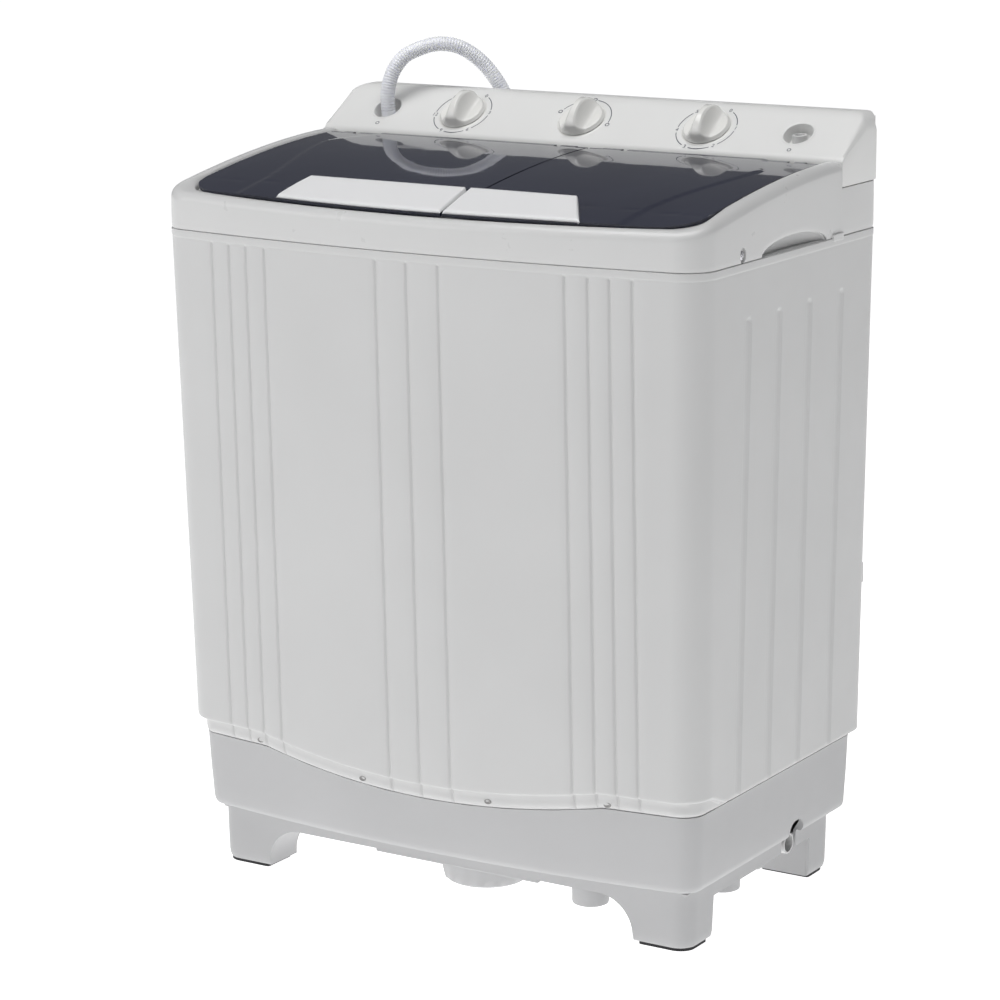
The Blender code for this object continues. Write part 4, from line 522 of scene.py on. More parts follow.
def outline(stations, z, inset, cornerRadius=None):
    # x, y and the outward direction for each station, at height z and pulled in by inset
    kind, spot, sign = stations
    z, inset = np.broadcast_arrays(np.asarray(z, float), np.asarray(inset, float))
    down = cabinet["seamZ"] - z
    half = cabinet["halfWidth"] - cabinet["taper"] * down - inset
    front = cabinet["frontY"] + cabinet["lean"] * down + inset
    rear = cabinet["rearY"] - inset
    rf = np.maximum(cabinet["frontRadius"] - inset, 0.008) if cornerRadius is None else cornerRadius
    rr = np.maximum(cabinet["rearRadius"] - inset, 0.006)
    reach, rearReach = half - rf, half - rr
    bowed = lambda x: front - cabinet["bow"] * (1 - (x / half) ** 2)
    cornerY, rearCornerY = bowed(reach) + rf, rear - rr
    a = np.radians(spot)
    frontX = np.where(kind == 0, spot, frontHold + spot * (reach - frontHold))
    conditions = [kind <= 1, kind == 2, kind <= 5, kind == 6, kind == 7]
    beforeSide = cornerY + spot * (sideHold - cornerY)
    afterSide = rearHold + spot * (rearCornerY - rearHold)
    sideY = np.select([kind == 3, kind == 5], [beforeSide, afterSide], spot)
    x = np.select(conditions, [frontX, reach + rf * np.cos(a), half + 0 * spot,
                               rearReach + rr * np.cos(a), rearReach * spot])
    y = np.select(conditions, [bowed(frontX), cornerY + rf * np.sin(a), sideY,
                               rearCornerY + rr * np.sin(a), rear + 0 * spot])
    nx = np.select(conditions, [2 * cabinet["bow"] * frontX / half ** 2, np.cos(a), 1 + 0 * spot,
                                np.cos(a), 0 * spot])
    ny = np.select(conditions, [-1 + 0 * spot, np.sin(a), 0 * spot, np.sin(a), 1 + 0 * spot])
    size = np.hypot(nx, ny)
    return x * sign, y, nx * sign / size, ny / size


def ringAt(stations, z, inset, sunk=0.0, cornerRadius=None):
    # the outline as points in space, each pressed in along its own normal by sunk
    x, y, nx, ny = outline(stations, z, inset, cornerRadius)
    return np.stack([x - nx * sunk, y - ny * sunk, np.broadcast_to(z, x.shape)], -1)


# the body's front grooves, side flutes and stepped lower band
panel = {
    "grooves": (0.0, 0.0378, 0.1806, 0.2057, 0.229, 0.253), "grooveWidth": 0.0017, "grooveDepth": 0.0019,
    "grooveTop": 0.697, "flutes": (-0.092, -0.026, 0.041, 0.114), "fluteHalf": 0.0072, "fluteDepth": 0.0020,
    "fluteTop": 0.646, "edgeZ": 0.168, "dip": 0.0215, "dipHalf": 0.21, "sideEdgeZ": 0.156,
    "bandHeight": 0.0175, "bandInset": 0.008, "bandFront": 0.0036,
    "dimples": (-0.2140, -0.075, 0.0806, 0.2170), "dimpleZ": (0.1575, 0.1395, 0.1398, 0.1560),
}


def lowerEdge(x, y):
    # level at the corners, a parabola down in the middle of the front, lower along the sides
    arch = panel["edgeZ"] - panel["dip"] * np.maximum(0, 1 - (x / panel["dipHalf"]) ** 2)
    return arch + (panel["sideEdgeZ"] - arch) * ease(-0.150, -0.112, y)


def bandLowerEdge(x, y):
    # the front's parabola moved down by the band's height, at least 4 mm under the panel's edge
    arch = panel["edgeZ"] - panel["dip"] * np.maximum(0, 1 - (x / panel["dipHalf"]) ** 2)
    return np.minimum(arch - panel["bandHeight"], lowerEdge(x, y) - 0.004)


def sunkAt(stations, x, y, z):
    # how far the surface is pressed in: bell-shaped grooves in front, flat round-ended flutes on the sides
    kind = stations[0]
    depth = np.zeros(np.broadcast(x, z).shape)
    for groove in panel["grooves"]:
        line = np.hypot(np.abs(x) - groove, np.maximum(z - panel["grooveTop"], 0))
        depth += np.where(kind <= 1, panel["grooveDepth"] * np.exp(-(line / panel["grooveWidth"]) ** 2), 0)
    for flute in panel["flutes"]:
        line = np.hypot(y - flute, np.maximum(z - panel["fluteTop"], 0))
        flat = 1 - ease(panel["fluteHalf"] - 0.0040, panel["fluteHalf"] + 0.0004, line)
        depth += np.where((kind >= 3) & (kind <= 5), panel["fluteDepth"] * flat, 0)
    return depth


def makeBody():
    # outline rows going down the panel, its edge, the band under it, and back up inside
    near = np.array([-3.0, -2.0, -1.4, -0.8, -0.3, 0.3, 0.8, 1.4, 2.0, 3.0]) * 0.001
    frontExtra = np.concatenate([np.abs(g + near) for g in panel["grooves"]])
    edge = np.array([-8.0, -7.2, -6.4, -5.6, -4.8, -4.2, -2.0, 2.0, 4.2, 4.8, 5.6, 6.4, 7.2, 8.0]) * 0.001
    sideExtra = np.concatenate([f + edge for f in panel["flutes"]])
    stations = planStations(frontExtra, sideExtra)
    levels = np.concatenate([[0.7068, 0.7045, 0.7012, 0.7002, 0.6996], np.arange(0.6990, 0.6945, -0.0007),
                             [0.690, 0.675], np.arange(0.660, 0.640, -0.0012), np.arange(0.62, 0.20, -0.03)])
    rows = [ringAt(stations, 0.7078, 0.0003), ringAt(stations, 0.7072, -0.0005)]
    for z in levels:
        lip = 0.0005 * (1 - ease(0.6992, 0.7006, 0.7 * 2 - z)) if z > 0.699 else 0.0
        x, y, _, _ = outline(stations, z, 0.0)
        rows.append(ringAt(stations, np.full(x.shape, z), -lip, sunkAt(stations, x, y, z)))
    x, y, _, _ = outline(stations, 0.2, 0.0)
    low, band = lowerEdge(x, y), bandLowerEdge(x, y)
    for t in (0.3, 0.6, 0.8, 0.92):
        z = 0.2 + (low + 0.002 - 0.2) * t
        rows.append(ringAt(stations, z, 0.0, sunkAt(stations, x, y, z)))
    corner = np.where(stations[0] <= 1, 0.0, np.where(stations[0] == 2, ease(-88, -40, stations[1]), 1.0))
    step = panel["bandFront"] + (panel["bandInset"] - panel["bandFront"]) * corner
    pressed = sunkAt(stations, x, y, low)
    for share, drop in ((0.0, 0.002), (0.08, 0.0008), (0.25, 0.0), (0.90, -0.0008), (1.0, -0.0018)):
        rows.append(ringAt(stations, low + drop, step * share, pressed))
    for share, t in ((0.02, 0.35), (0.06, 0.6), (0.2, 0.78), (0.5, 0.9), (0.8, 0.97), (1.0, 1.0)):
        inset = step + (0.0104 - step) * share
        rows.append(ringAt(stations, low - 0.0018 + (band - low + 0.0018) * t, inset, pressed * (t < 0.8)))
    rows.append(ringAt(stations, band, 0.0112))
    for inset, z in ((0.0112, 0.1765), (0.003, 0.182), (0.003, 0.45), (0.003, 0.7078)):
        rows.append(ringAt(stations, np.full(x.shape, z), inset))
    grid = np.stack(rows)
    body = tidy(surface("bodyPanel", grid, closeRows=True, closeColumns=True), sharp=30)
    hole = surface("hole", boxGrid((-0.223, 0.18, 0.227), (0.223, 0.22, 0.628)), closeColumns=True)
    cutWith(body, tidy(hole))
    place(body, shell, replaces=("body_shell",))
    makeDimples()
    for side in (-1, 1):
        clip = softBox("seamClip%s" % ("Left" if side < 0 else "Right"),
                       (side * 0.3225, 0.0890, 0.7050), (side * 0.3273, 0.1130, 0.7122), 0.0012)
        place(clip, deckWhite)


def makeDimples():
    # shallow oval rims along the band, set on the leaning bowed front at each place
    ring = [(0.0, -0.0004), (0.55, -0.0003), (0.85, 0.0001), (1.0, 0.0003), (1.05, -0.0006), (0.0, -0.0010)]
    for i, (x, z) in enumerate(zip(panel["dimples"], panel["dimpleZ"])):
        lean = cabinet["lean"] * (cabinet["seamZ"] - z)
        y = cabinet["frontY"] + lean + panel["bandFront"] - cabinet["bow"] * (1 - (x / 0.307) ** 2)
        spot = Matrix.Translation((x, y - 0.0001, z)) @ Matrix.Rotation(math.pi / 2, 4, "X")
        dimple = turned("bandDimple%d" % i, ring, 32)
        dimple.data.transform(spot @ Matrix.Diagonal((0.0040, 0.0026, 1.0, 1)))
        place(tidy(dimple, merge=0.000005), cavity)


def boxGrid(low, high):
    # a box as four stacked rings: bottom point ring, two square rings, top point ring
    (x0, y0, z0), (x1, y1, z1) = low, high
    square = [(x0, y0), (x1, y0), (x1, y1), (x0, y1)]
    middle = [((x0 + x1) / 2, (y0 + y1) / 2)] * 4
    rings = [(middle, z0), (square, z0), (square, z1), (middle, z1)]
    return np.array([[(x, y, z) for x, y in ring] for ring, z in rings])


def softBox(name, low, high, radius, segments=3):
    # a box between two corners with its edges rounded by a bevel
    low, high = np.minimum(low, high), np.maximum(low, high)
    item = tidy(surface(name, boxGrid(low, high), closeColumns=True))
    bevel = item.modifiers.new("soft", "BEVEL")
    bevel.width, bevel.segments, bevel.limit_method = radius, segments, "ANGLE"
    item.data.set_sharp_from_angle(angle=math.radians(75))
    return item


makeBody()
print("body shell made")

# the deck's rim, ledge and hand openings
deck = {
    "gripY": 0.0045, "gripHalf": 0.072, "gripHeight": 0.0155, "ledgeDepth": 0.0085,
    "skirtBottom": 0.700, "innerRadius": 0.040, "shoulderHigh": 0.0105, "shoulderWide": 0.0105,
    "screwY": -0.108, "screwZ": 0.7158, "splitX": 0.030,
}


def deckTop(y):
    # the crest, then a step down to the flat where the console stands
    return np.where(y < 0.1095, crest(y), cabinet["deckRearZ"])


def deckFoot(stations, y):
    # the seam line, lifted into an elliptic arch over each hand opening
    share = np.clip(1 - ((y - deck["gripY"]) / deck["gripHalf"]) ** 2, 0, 1)
    side = (stations[0] >= 3) & (stations[0] <= 5)
    return 0.7083 + np.where(side, deck["gripHeight"] * np.sqrt(share), 0)


def makeDeck():
    # rows up the outside, over the rim, down to the ledge, across it, down the skirt and back underneath
    arch = deck["gripY"] + deck["gripHalf"] * np.cos(np.linspace(0, math.pi, 25))
    sideExtra = np.concatenate([arch, [0.1085, 0.1094, 0.1096, 0.1105]])
    stations = planStations(sideExtra=sideExtra)
    _, y, _, _ = outline(stations, 0.72, 0.0)
    foot, top = deckFoot(stations, y), deckTop(y)
    rows = []
    keep = 1 - 0.94 * ease(0.1090, 0.1096, y)
    high, wide = deck["shoulderHigh"] * keep, deck["shoulderWide"] * keep
    for t in (0.0, 0.02, 0.06, 0.15, 0.3, 0.5, 0.7, 0.88, 1.0):
        inset = 0.0006 * max(0, 1 - t / 0.05) + 0.0008 * t ** 2
        rows.append(ringAt(stations, foot + (top - high - foot) * t, inset))
    for a in np.radians([12, 25, 38, 51, 64, 77, 90]):
        lean = 1 - math.cos(a)
        rows.append(ringAt(stations, top - high * (1 - math.sin(a)), 0.0008 + wide * lean))
    inner = deck["innerRadius"]
    depth = deck["ledgeDepth"]
    for inset, drop, share in ((0.0150, 0.0001, 0.35), (0.0166, 0.0006, 0.8), (0.0178, 0.0018, 1.0),
                               (0.0185, 0.0040, 1.0), (0.0190, depth - 0.0006, 1.0), (0.0198, depth, 1.0),
                               (0.0352, depth, 1.0), (0.0360, depth + 0.001, 1.0)):
        radius = 0.0215 + (inner - 0.0215) * share
        rows.append(ringAt(stations, top - drop, inset, cornerRadius=radius))
    for inset, level in ((0.0360, deck["skirtBottom"]), (0.0330, deck["skirtBottom"])):
        rows.append(ringAt(stations, np.full(y.shape, level), inset, cornerRadius=0.030))
    for inset, drop in ((0.0330, depth + 0.003), (0.0155, depth + 0.003), (0.0110, 0.0060), (0.0062, 0.0135)):
        rows.append(ringAt(stations, top - drop, inset))
    rows.append(ringAt(stations, foot, 0.003))
    grid = np.stack(rows)
    ring = tidy(surface("deckRim", grid, closeRows=True, closeColumns=True), sharp=40)
    for side in (-1, 1):
        spot = Matrix.Translation((side * 0.3222, deck["screwY"], deck["screwZ"]))
        spot = spot @ Matrix.Rotation(math.pi / 2, 4, "Y")
        oval = turned("dimple", [(0, 0), (1, 0), (1, 1), (0, 1)], 40)
        oval.data.transform(spot @ Matrix.Diagonal((0.0078, 0.0062, side * 0.02, 1)))
        cutWith(ring, tidy(oval))
    place(ring, deckWhite, replaces=("top_deck",))
    makeDeckInside()


def makeDeckInside():
    # the bar between the mouths, the spin plate round its mouth, the strip behind and the hinge lugs
    y = np.linspace(-0.1799, 0.1085, 24)
    top = crest(y) - deck["ledgeDepth"]
    low = np.full(y.shape, 0.7125)
    x0, x1 = deck["splitX"] - 0.016, deck["splitX"] + 0.016
    ring = [(x0, low), (x0, top), (x0 + 0.0012, top + 0.0002),
            (x1 - 0.0012, top + 0.0002), (x1, top), (x1, low)]
    grid = np.stack([np.stack([np.full(y.shape, x), y, z], -1) for x, z in ring], 1)
    caps = [np.repeat(grid[i:i + 1].mean(1, keepdims=True), 6, 1) for i in (0, -1)]
    grid = np.concatenate([caps[0], grid, caps[1]], 0)
    place(tidy(surface("deckBar", grid, closeColumns=True), sharp=30), deckWhite)

    turn = np.linspace(0, 2 * math.pi, 128, endpoint=False)
    c, s = np.cos(turn), np.sin(turn)
    far = 1 / np.maximum(np.abs(c), np.abs(s))
    mx, my = 0.1675, -0.0325
    square = np.stack([np.clip(mx + 0.1225 * c * far, 0.044, 0.2895),
                       np.where(s < 0, my + 0.134 * s * far, my + 0.1412 * s * far)], -1)
    mouth = np.stack([mx + 0.1125 * c, my + 0.1125 * s], -1)
    rows = []
    for share, z in ((0, 0.7155), (0.75, 0.7155), (0.97, 0.7160), (1.0, 0.7150), (1.0, 0.7090),
                     (0.985, 0.7090), (0.97, 0.7125), (0, 0.7125)):
        flat = square + (mouth - square) * share
        rows.append(np.concatenate([flat, np.full((128, 1), z)], 1))
    plate = tidy(surface("spinPlate", np.stack(rows), closeRows=True, closeColumns=True), sharp=30)
    place(plate, deckWhite)

    place(softBox("rearStrip", (-0.2902, 0.1085, 0.7530), (0.2902, 0.1667, 0.7560), 0.0006), deckWhite)
    place(softBox("rearApron", (-0.2902, 0.1085, 0.7012), (0.2902, 0.1115, 0.7555), 0.0006), deckWhite)
    for index, x in enumerate((-0.2716, -0.0096, 0.0736, 0.2716)):
        lug = softBox("hingeLug%d" % index, (x - 0.003, 0.0950, 0.7722), (x + 0.003, 0.1095, 0.7802), 0.0012)
        place(lug, deckWhite)


makeDeck()


def screwHead(name, radius, height, spot, material=plated):
    # a domed head with a cross recess: the cross is where either side coordinate is small
    ring = np.linspace(0, 1, 14)
    steps = 48
    r = np.repeat((ring * radius)[:, None], steps, 1)
    a = np.linspace(0, 2 * math.pi, steps, endpoint=False)[None, :]
    x, y = r * np.cos(a), r * np.sin(a)
    dome = height * np.sqrt(np.clip(1 - (r / radius) ** 2 * 0.96, 0, 1))
    arm = np.minimum(np.abs(x), np.abs(y)) < radius * 0.13
    long = np.maximum(np.abs(x), np.abs(y)) < radius * 0.58
    z = dome - np.where(arm & long, height * 0.55, 0)
    grid = np.stack([x, y, z], -1)
    foot = grid[-1:].copy()
    foot[..., 2] = -0.0015
    item = surface(name, np.concatenate([grid, foot], 0), closeColumns=True)
    item.data.transform(spot)
    return place(tidy(item, sharp=30), material)


def makeGrips():
    # a curved cup behind each hand opening: deepest in the middle, meeting the arch all round
    for side, hand in ((-1, "left"), (1, "right")):
        along = np.linspace(-1, 1, 41)
        up = np.linspace(0, 1, 13)
        v, u = np.meshgrid(up, along)
        reach = np.sqrt(np.clip(1 - u ** 2, 0, 1))
        y = deck["gripY"] + (deck["gripHalf"] - 0.0005) * u
        z = 0.7086 + (deck["gripHeight"] + 0.0010) * reach * v
        depth = 0.0095 * reach ** 0.7 * np.sqrt(np.clip(1 - (v * 0.96) ** 2, 0, 1))
        x = side * (0.3232 - depth)
        cup = tidy(surface("gripCup" + hand.capitalize(), np.stack([x, y, z], -1)), sharp=60)
        sheet = cup.modifiers.new("sheet", "SOLIDIFY")
        sheet.thickness, sheet.offset = 0.0012, -1.0
        place(cup, deckWhite, replaces=("hand_grip_" + hand,))
        floor = softBox("gripFloor" + hand.capitalize(), (side * 0.304, -0.066, 0.7075),
                        (side * 0.3225, 0.075, 0.7086), 0.0004)
        place(floor, deckWhite)
        spot = Matrix.Translation((side * 0.3228, deck["screwY"], deck["screwZ"]))
        turn = Matrix.Rotation(side * math.pi / 2, 4, "Y")
        screwHead("seamScrew" + hand.capitalize(), 0.0050, 0.0018, spot @ turn)


makeGrips()
print("deck made")

# the base's skirt, legs and fittings
base = {
    "skirtHalf": 0.2945, "skirtFront": -0.1525, "skirtRear": 0.1745, "skirtZ": 0.048, "stepZ": 0.067,
    "legWidth": 0.066, "legDepth": 0.054, "arch": 0.040, "padTop": 0.0033, "notchY": 0.070,
    "cups": ((0.16422, -0.12644), (0.26007, -0.01618), (0.10103, 0.03397)), "motor": (0.014, -0.090),
}


def skirtRing(inset, z):
    # a rounded rectangle: four straight runs and four arcs, with stations where the legs start and end
    half, front, rear = base["skirtHalf"] - inset, base["skirtFront"] + inset, base["skirtRear"] - inset
    arcFront, arcRear = max(0.022 - inset, 0.004), max(0.018 - inset, 0.004)
    legIn = base["skirtHalf"] - base["legWidth"]
    archX = legIn - base["arch"] + base["arch"] * np.sin(np.linspace(0, math.pi / 2, 15)[1:-1])
    legX = np.concatenate([np.linspace(0, legIn - base["arch"], 5), archX,
                           [legIn - 0.0001, legIn + 0.0001],
                           np.linspace(legIn, half - arcFront, 4)[1:]])
    sideStart, sideEnd = base["skirtFront"] + base["legDepth"], base["skirtRear"] - base["legDepth"]
    legY = np.concatenate([np.linspace(front + arcFront, sideStart - 0.0008, 4)[1:], [sideStart + 0.0008],
                           np.linspace(sideStart, sideEnd, 9)[1:-1], [sideEnd - 0.0008],
                           np.linspace(sideEnd + 0.0008, rear - arcRear, 4)[:-1]])
    a = np.radians(np.linspace(-90, 0, 9))
    corner = np.stack([half - arcFront + arcFront * np.cos(a), front + arcFront + arcFront * np.sin(a)], -1)
    b = np.radians(np.linspace(0, 90, 9))
    rearCorner = np.stack([half - arcRear + arcRear * np.cos(b), rear - arcRear + arcRear * np.sin(b)], -1)
    frontRun = np.stack([legX[:-1], np.full(len(legX) - 1, front)], -1)
    sideRun = np.stack([np.full(len(legY), half), legY], -1)
    rearX = np.minimum(legX[::-1], half - arcRear)
    rearRun = np.stack([rearX[1:], np.full(len(legX) - 1, rear)], -1)
    right = np.concatenate([frontRun, corner, sideRun, rearCorner, rearRun])
    left = right[::-1][1:-1] * (-1, 1)
    ring = np.concatenate([right, left])
    return np.concatenate([ring, np.full((len(ring), 1), z)], 1)


def legFoot(ring):
    # lower edge of the skirt: down to the pads at the legs, a quarter circle beside each leg, level between
    x, y = np.abs(ring[:, 0]), ring[:, 1]
    legIn = base["skirtHalf"] - base["legWidth"]
    archIn = legIn - base["arch"]
    low = base["skirtZ"] - base["arch"]
    curve = low + np.sqrt(np.clip(base["arch"] ** 2 - (x - archIn) ** 2, 0, None))
    across = np.where(x <= archIn, base["skirtZ"], np.where(x < legIn, curve, base["padTop"]))
    between = (y > base["skirtFront"] + base["legDepth"]) & (y < base["skirtRear"] - base["legDepth"])
    return np.where(between, base["skirtZ"], across)


def makeBase():
    # rings up the skirt, out over the step, up the flared wall to the band and back down inside
    flat = skirtRing(0.0, 0.0)
    count = len(flat)
    low = legFoot(flat)

    def resample(ring):
        # the body outline met at the same share of its length as the skirt's stations
        def lengths(points):
            closed = np.vstack([points, points[:1]])
            return np.concatenate([[0], np.cumsum(np.linalg.norm(np.diff(closed[:, :2], axis=0), axis=1))])
        own, want = lengths(ring), lengths(flat)
        share = want[:-1] / want[-1] * own[-1]
        closed = np.vstack([ring, ring[:1]])
        return np.stack([np.interp(share, own, closed[:, k]) for k in range(3)], -1)

    stations = planStations()
    x, y, _, _ = outline(stations, 0.15, 0.0)
    bandLow = bandLowerEdge(x, y) - 0.0004
    tight = skirtRing(0.010, 0.0)

    def drafted(z, more=0.0):
        # the skirt leans in towards the floor and rolls under just above it
        inset = 0.0015 * np.clip((base["stepZ"] - z) / 0.064, 0, 1) ** 1.4
        inset = inset + 0.0018 * np.clip((0.0125 - z) / 0.0092, 0, 1) ** 2 + more
        ring = flat + (tight - flat) * (inset / 0.010)[:, None]
        ring[:, 2] = z
        return ring

    rows = [drafted(low, 0.003), drafted(low, 0.0006)]
    for t in (0.012, 0.04, 0.08, 0.13, 0.2, 0.35, 0.7, 1.0):
        rows.append(drafted(low + (base["stepZ"] - 0.002 - low) * t))
    ledge = skirtRing(-0.0015, base["stepZ"])
    rows.append(ledge)
    for inset, z in ((0.0172, 0.0668), (0.0150, 0.0675), (0.0131, 0.0702), (0.0122, 0.0750), (0.0116, 0.090),
                     (0.0107, 0.110)):
        rows.append(resample(ringAt(stations, np.full(x.shape, z), inset)))
    for inset, drop in ((0.0098, 0.004), (0.0096, 0.0004), (0.0112, 0.0)):
        rows.append(resample(ringAt(stations, bandLow - drop, inset)))
    for inset, z in ((0.0119, 0.176), (0.0149, 0.176), (0.0160, 0.080)):
        rows.append(resample(ringAt(stations, np.full(x.shape, z), inset)))
    rows.append(skirtRing(0.003, 0.0660))
    rows.append(skirtRing(0.003, base["skirtZ"] + 0.0045))
    grid = np.stack([row[:count] for row in rows])
    item = tidy(surface("baseSkirt", grid, closeRows=True, closeColumns=True), sharp=35)
    slot = roundedProfile([(-0.0165, -0.06), (-0.0165, 0.0165), (0.0165, 0.0165), (0.0165, -0.06)],
                          [0.0165, 0.0165], 10)
    notch = np.stack([np.stack([np.full(len(slot), x), base["notchY"] + slot[:, 0], 0.0675 + slot[:, 1]], -1)
                      for x in (0.255, 0.335)])
    middle = notch.mean(1, keepdims=True).repeat(len(slot), 1)
    cutter = surface("notch", np.concatenate([middle[:1], notch, middle[1:]]), closeColumns=True)
    cutWith(item, tidy(cutter))
    place(item, baseWhite, replaces=("base_plinth",))
    makeLegs()
    makePads()
    makeFloor()


def makeLegs():
    # each leg's block behind the skirt: the front view's outline with its arch, carried back in depth
    legIn, outer = base["skirtHalf"] - base["legWidth"], base["skirtHalf"] - 0.0032
    low = base["skirtZ"] - base["arch"]
    a = np.linspace(0, math.pi / 2, 16)
    arch = np.stack([legIn - base["arch"] + base["arch"] * np.sin(a), low + base["arch"] * np.cos(a)], -1)
    section = np.concatenate([[(outer, base["padTop"])], [(outer, 0.0630)], [(arch[0, 0], 0.0630)], arch,
                              [(legIn, base["padTop"])]])
    for side, hand in ((-1, "Left"), (1, "Right")):
        starts = {"Front": base["skirtFront"] + 0.0042, "Rear": base["skirtRear"] - base["legDepth"]}
        for end, y0 in starts.items():
            y1 = y0 + base["legDepth"] - 0.0032
            outerY = y0 if end == "Front" else y1 - 0.0032
            radius = 0.022
            rings = []
            rounding = (1 - np.cos(np.linspace(0.1, math.pi / 2, 10))) * 0.42
            for t in np.concatenate([[0.0], rounding, [0.6, 1.0]]):
                y = outerY + (y1 - y0 - 0.0032) * (t if end == "Front" else -t)
                near = max(radius - abs(y - outerY), 0.0)
                limit = outer - radius + math.sqrt(max(radius ** 2 - near ** 2, 0.0)) - 0.0006
                lean = 0.0012 * np.clip((0.0125 - section[:, 1]) / 0.0092, 0, 1) ** 2
                rings.append(np.stack([side * np.minimum(section[:, 0], limit - lean),
                                       np.full(len(section), y), section[:, 1]], -1))
            rings = np.array(rings)
            caps = [np.broadcast_to((side * (outer - 0.026), ring[0, 1], 0.050), rings[:1].shape)
                    for ring in (rings[0], rings[-1])]
            grid = np.concatenate([caps[0], rings, caps[1]])
            leg = surface("leg%s%s" % (end, hand), grid, closeColumns=True)
            place(tidy(leg, sharp=30), baseWhite)


def makePads():
    # a thin rubber sheet under each leg: a rounded rectangle whose outer corner follows the skirt's
    legIn = base["skirtHalf"] - base["legWidth"]
    for side, hand in ((-1, "left"), (1, "right")):
        for end, toward in (("front", -1), ("rear", 1)):
            x0, x1 = legIn + 0.0045, base["skirtHalf"] - 0.0044
            y1 = base["skirtFront"] + 0.0046 if toward < 0 else base["skirtRear"] - 0.0046
            y0 = y1 - toward * 0.0440
            ring = []
            for cx, cy, r, start in ((x1, y1, 0.0170, 0), (x0, y1, 0.0040, 90),
                                     (x0, y0, 0.0040, 180), (x1, y0, 0.0040, 270)):
                a = np.radians(start + np.linspace(0, 90, 10))
                mx = cx - r if cx == x1 else cx + r
                my = cy - toward * r if cy == y1 else cy + toward * r
                ring.append(np.stack([side * (mx + r * np.cos(a)), my + toward * r * np.sin(a)], -1))
            ring = np.concatenate(ring)
            middle = np.broadcast_to(ring.mean(0), ring.shape)
            rows = [(middle, 0.0), (ring, 0.0), (ring, 0.0029), (middle, 0.0029)]
            grid = np.stack([np.concatenate([xy, np.full((len(ring), 1), z)], 1) for xy, z in rows])
            pad = surface("pad%s%s" % (end.capitalize(), hand.capitalize()), grid, closeColumns=True)
            place(tidy(pad), rubber, replaces=("foot_pad_%s_%s" % (end, hand),))


def makeFloor():
    # floor with stiffening ribs, and the three cups that hold the spin motor's springs
    u, v = np.meshgrid(np.linspace(-1, 1, 81), np.linspace(-1, 1, 45))
    x, y = u * 0.2905, 0.011 + v * 0.1595
    ribs = np.maximum(np.cos(u * math.pi * 7) ** 24, np.cos(v * math.pi * 4) ** 24)
    grid = np.stack([x, y, 0.0630 - 0.0022 * ribs], -1)
    floor = tidy(surface("baseFloor", grid), sharp=60)
    sheet = floor.modifiers.new("sheet", "SOLIDIFY")
    sheet.thickness, sheet.offset = 0.0022, 1.0
    cutWith(floor, rodMesh("hole", 0.034, 0.03, 0.10, Matrix.Translation((*base["motor"], 0.0))))
    place(floor, baseWhite)
    wall = [(0.0, 0.0275), (0.010, 0.0272), (0.0175, 0.0262), (0.0190, 0.0270), (0.0195, 0.0290),
            (0.0198, 0.0632), (0.0168, 0.0632), (0.0166, 0.0305), (0.0, 0.0300)]
    for index, (x, y) in enumerate(base["cups"]):
        cup = turned("motorCup%d" % index, wall, 48, Matrix.Translation((x, y, 0.0)))
        place(cup, baseWhite)
    dome = [(0.0, 0.0150), (0.012, 0.0151), (0.030, 0.0158), (0.042, 0.0176), (0.0455, 0.0200),
            (0.0475, 0.028), (0.0505, 0.046), (0.0510, 0.0620), (0.0480, 0.0620), (0.0475, 0.049),
            (0.041, 0.026), (0.0, 0.0205)]
    steps = 96
    grid = turnedGrid(dome, steps)
    rib = 1 + 0.018 * (np.cos(np.linspace(0, 2 * math.pi * 16, steps, endpoint=False)) > 0.4)
    grid[4:7, :, :2] *= (rib / rib.max())[None, :, None]
    guard = surface("motorGuard", grid, closeColumns=True)
    guard.data.transform(Matrix.Translation((*base["motor"], 0.0)))
    place(tidy(guard), baseWhite, replaces=("motor_guard",))


def makeDrain():
    # a ribbed spigot turned on its own axis, with an elbow rising behind it, and a small clip beside it
    spot = Matrix.Translation((0.262, base["notchY"], 0.056)) @ Matrix.Rotation(math.pi / 2, 4, "Y")
    spigot = [(0.0, 0.0), (0.0113, 0.0), (0.0113, 0.016), (0.0104, 0.017), (0.0113, 0.019),
              (0.0113, 0.0235), (0.0104, 0.0245), (0.0113, 0.0265), (0.0113, 0.0320),
              (0.0108, 0.0326), (0.0092, 0.0326), (0.0090, 0.0310), (0.0090, 0.008), (0.0, 0.008)]
    outlet = turned("drainSpigot", spigot, 64, spot)
    place(outlet, deckWhite, replaces=("drain_outlet",))
    rise = [(0.0, 0.0), (0.0098, 0.0), (0.0098, 0.046), (0.0092, 0.0470), (0.0, 0.0470)]
    elbow = turned("drainElbow", rise, 48, Matrix.Translation((0.268, base["notchY"], 0.053)))
    place(elbow, deckWhite)
    clip = softBox("drainClip", (0.276, 0.024, 0.0460), (0.290, 0.032, 0.0505), 0.0010)
    place(clip, deckWhite)
    tab = softBox("drainTab", (0.283, 0.012, 0.0420), (0.289, 0.018, 0.0500), 0.0010)
    place(tab, deckWhite)


makeBase()
makeDrain()
print("base made")

# the console's section, knobs and ports
console = {
    "half": 0.3248, "footZ": 0.7581, "topZ": 0.83018, "cornerRadius": 0.018, "endRadius": 0.0022,
    "planRadius": 0.020,
    "knobs": {"wash_timer": -0.158, "selector": -0.005, "spin_timer": 0.149}, "knobAlong": 0.0375,
    "portX": 0.258, "portRadius": 0.0170, "dialRadius": 0.0338,
}


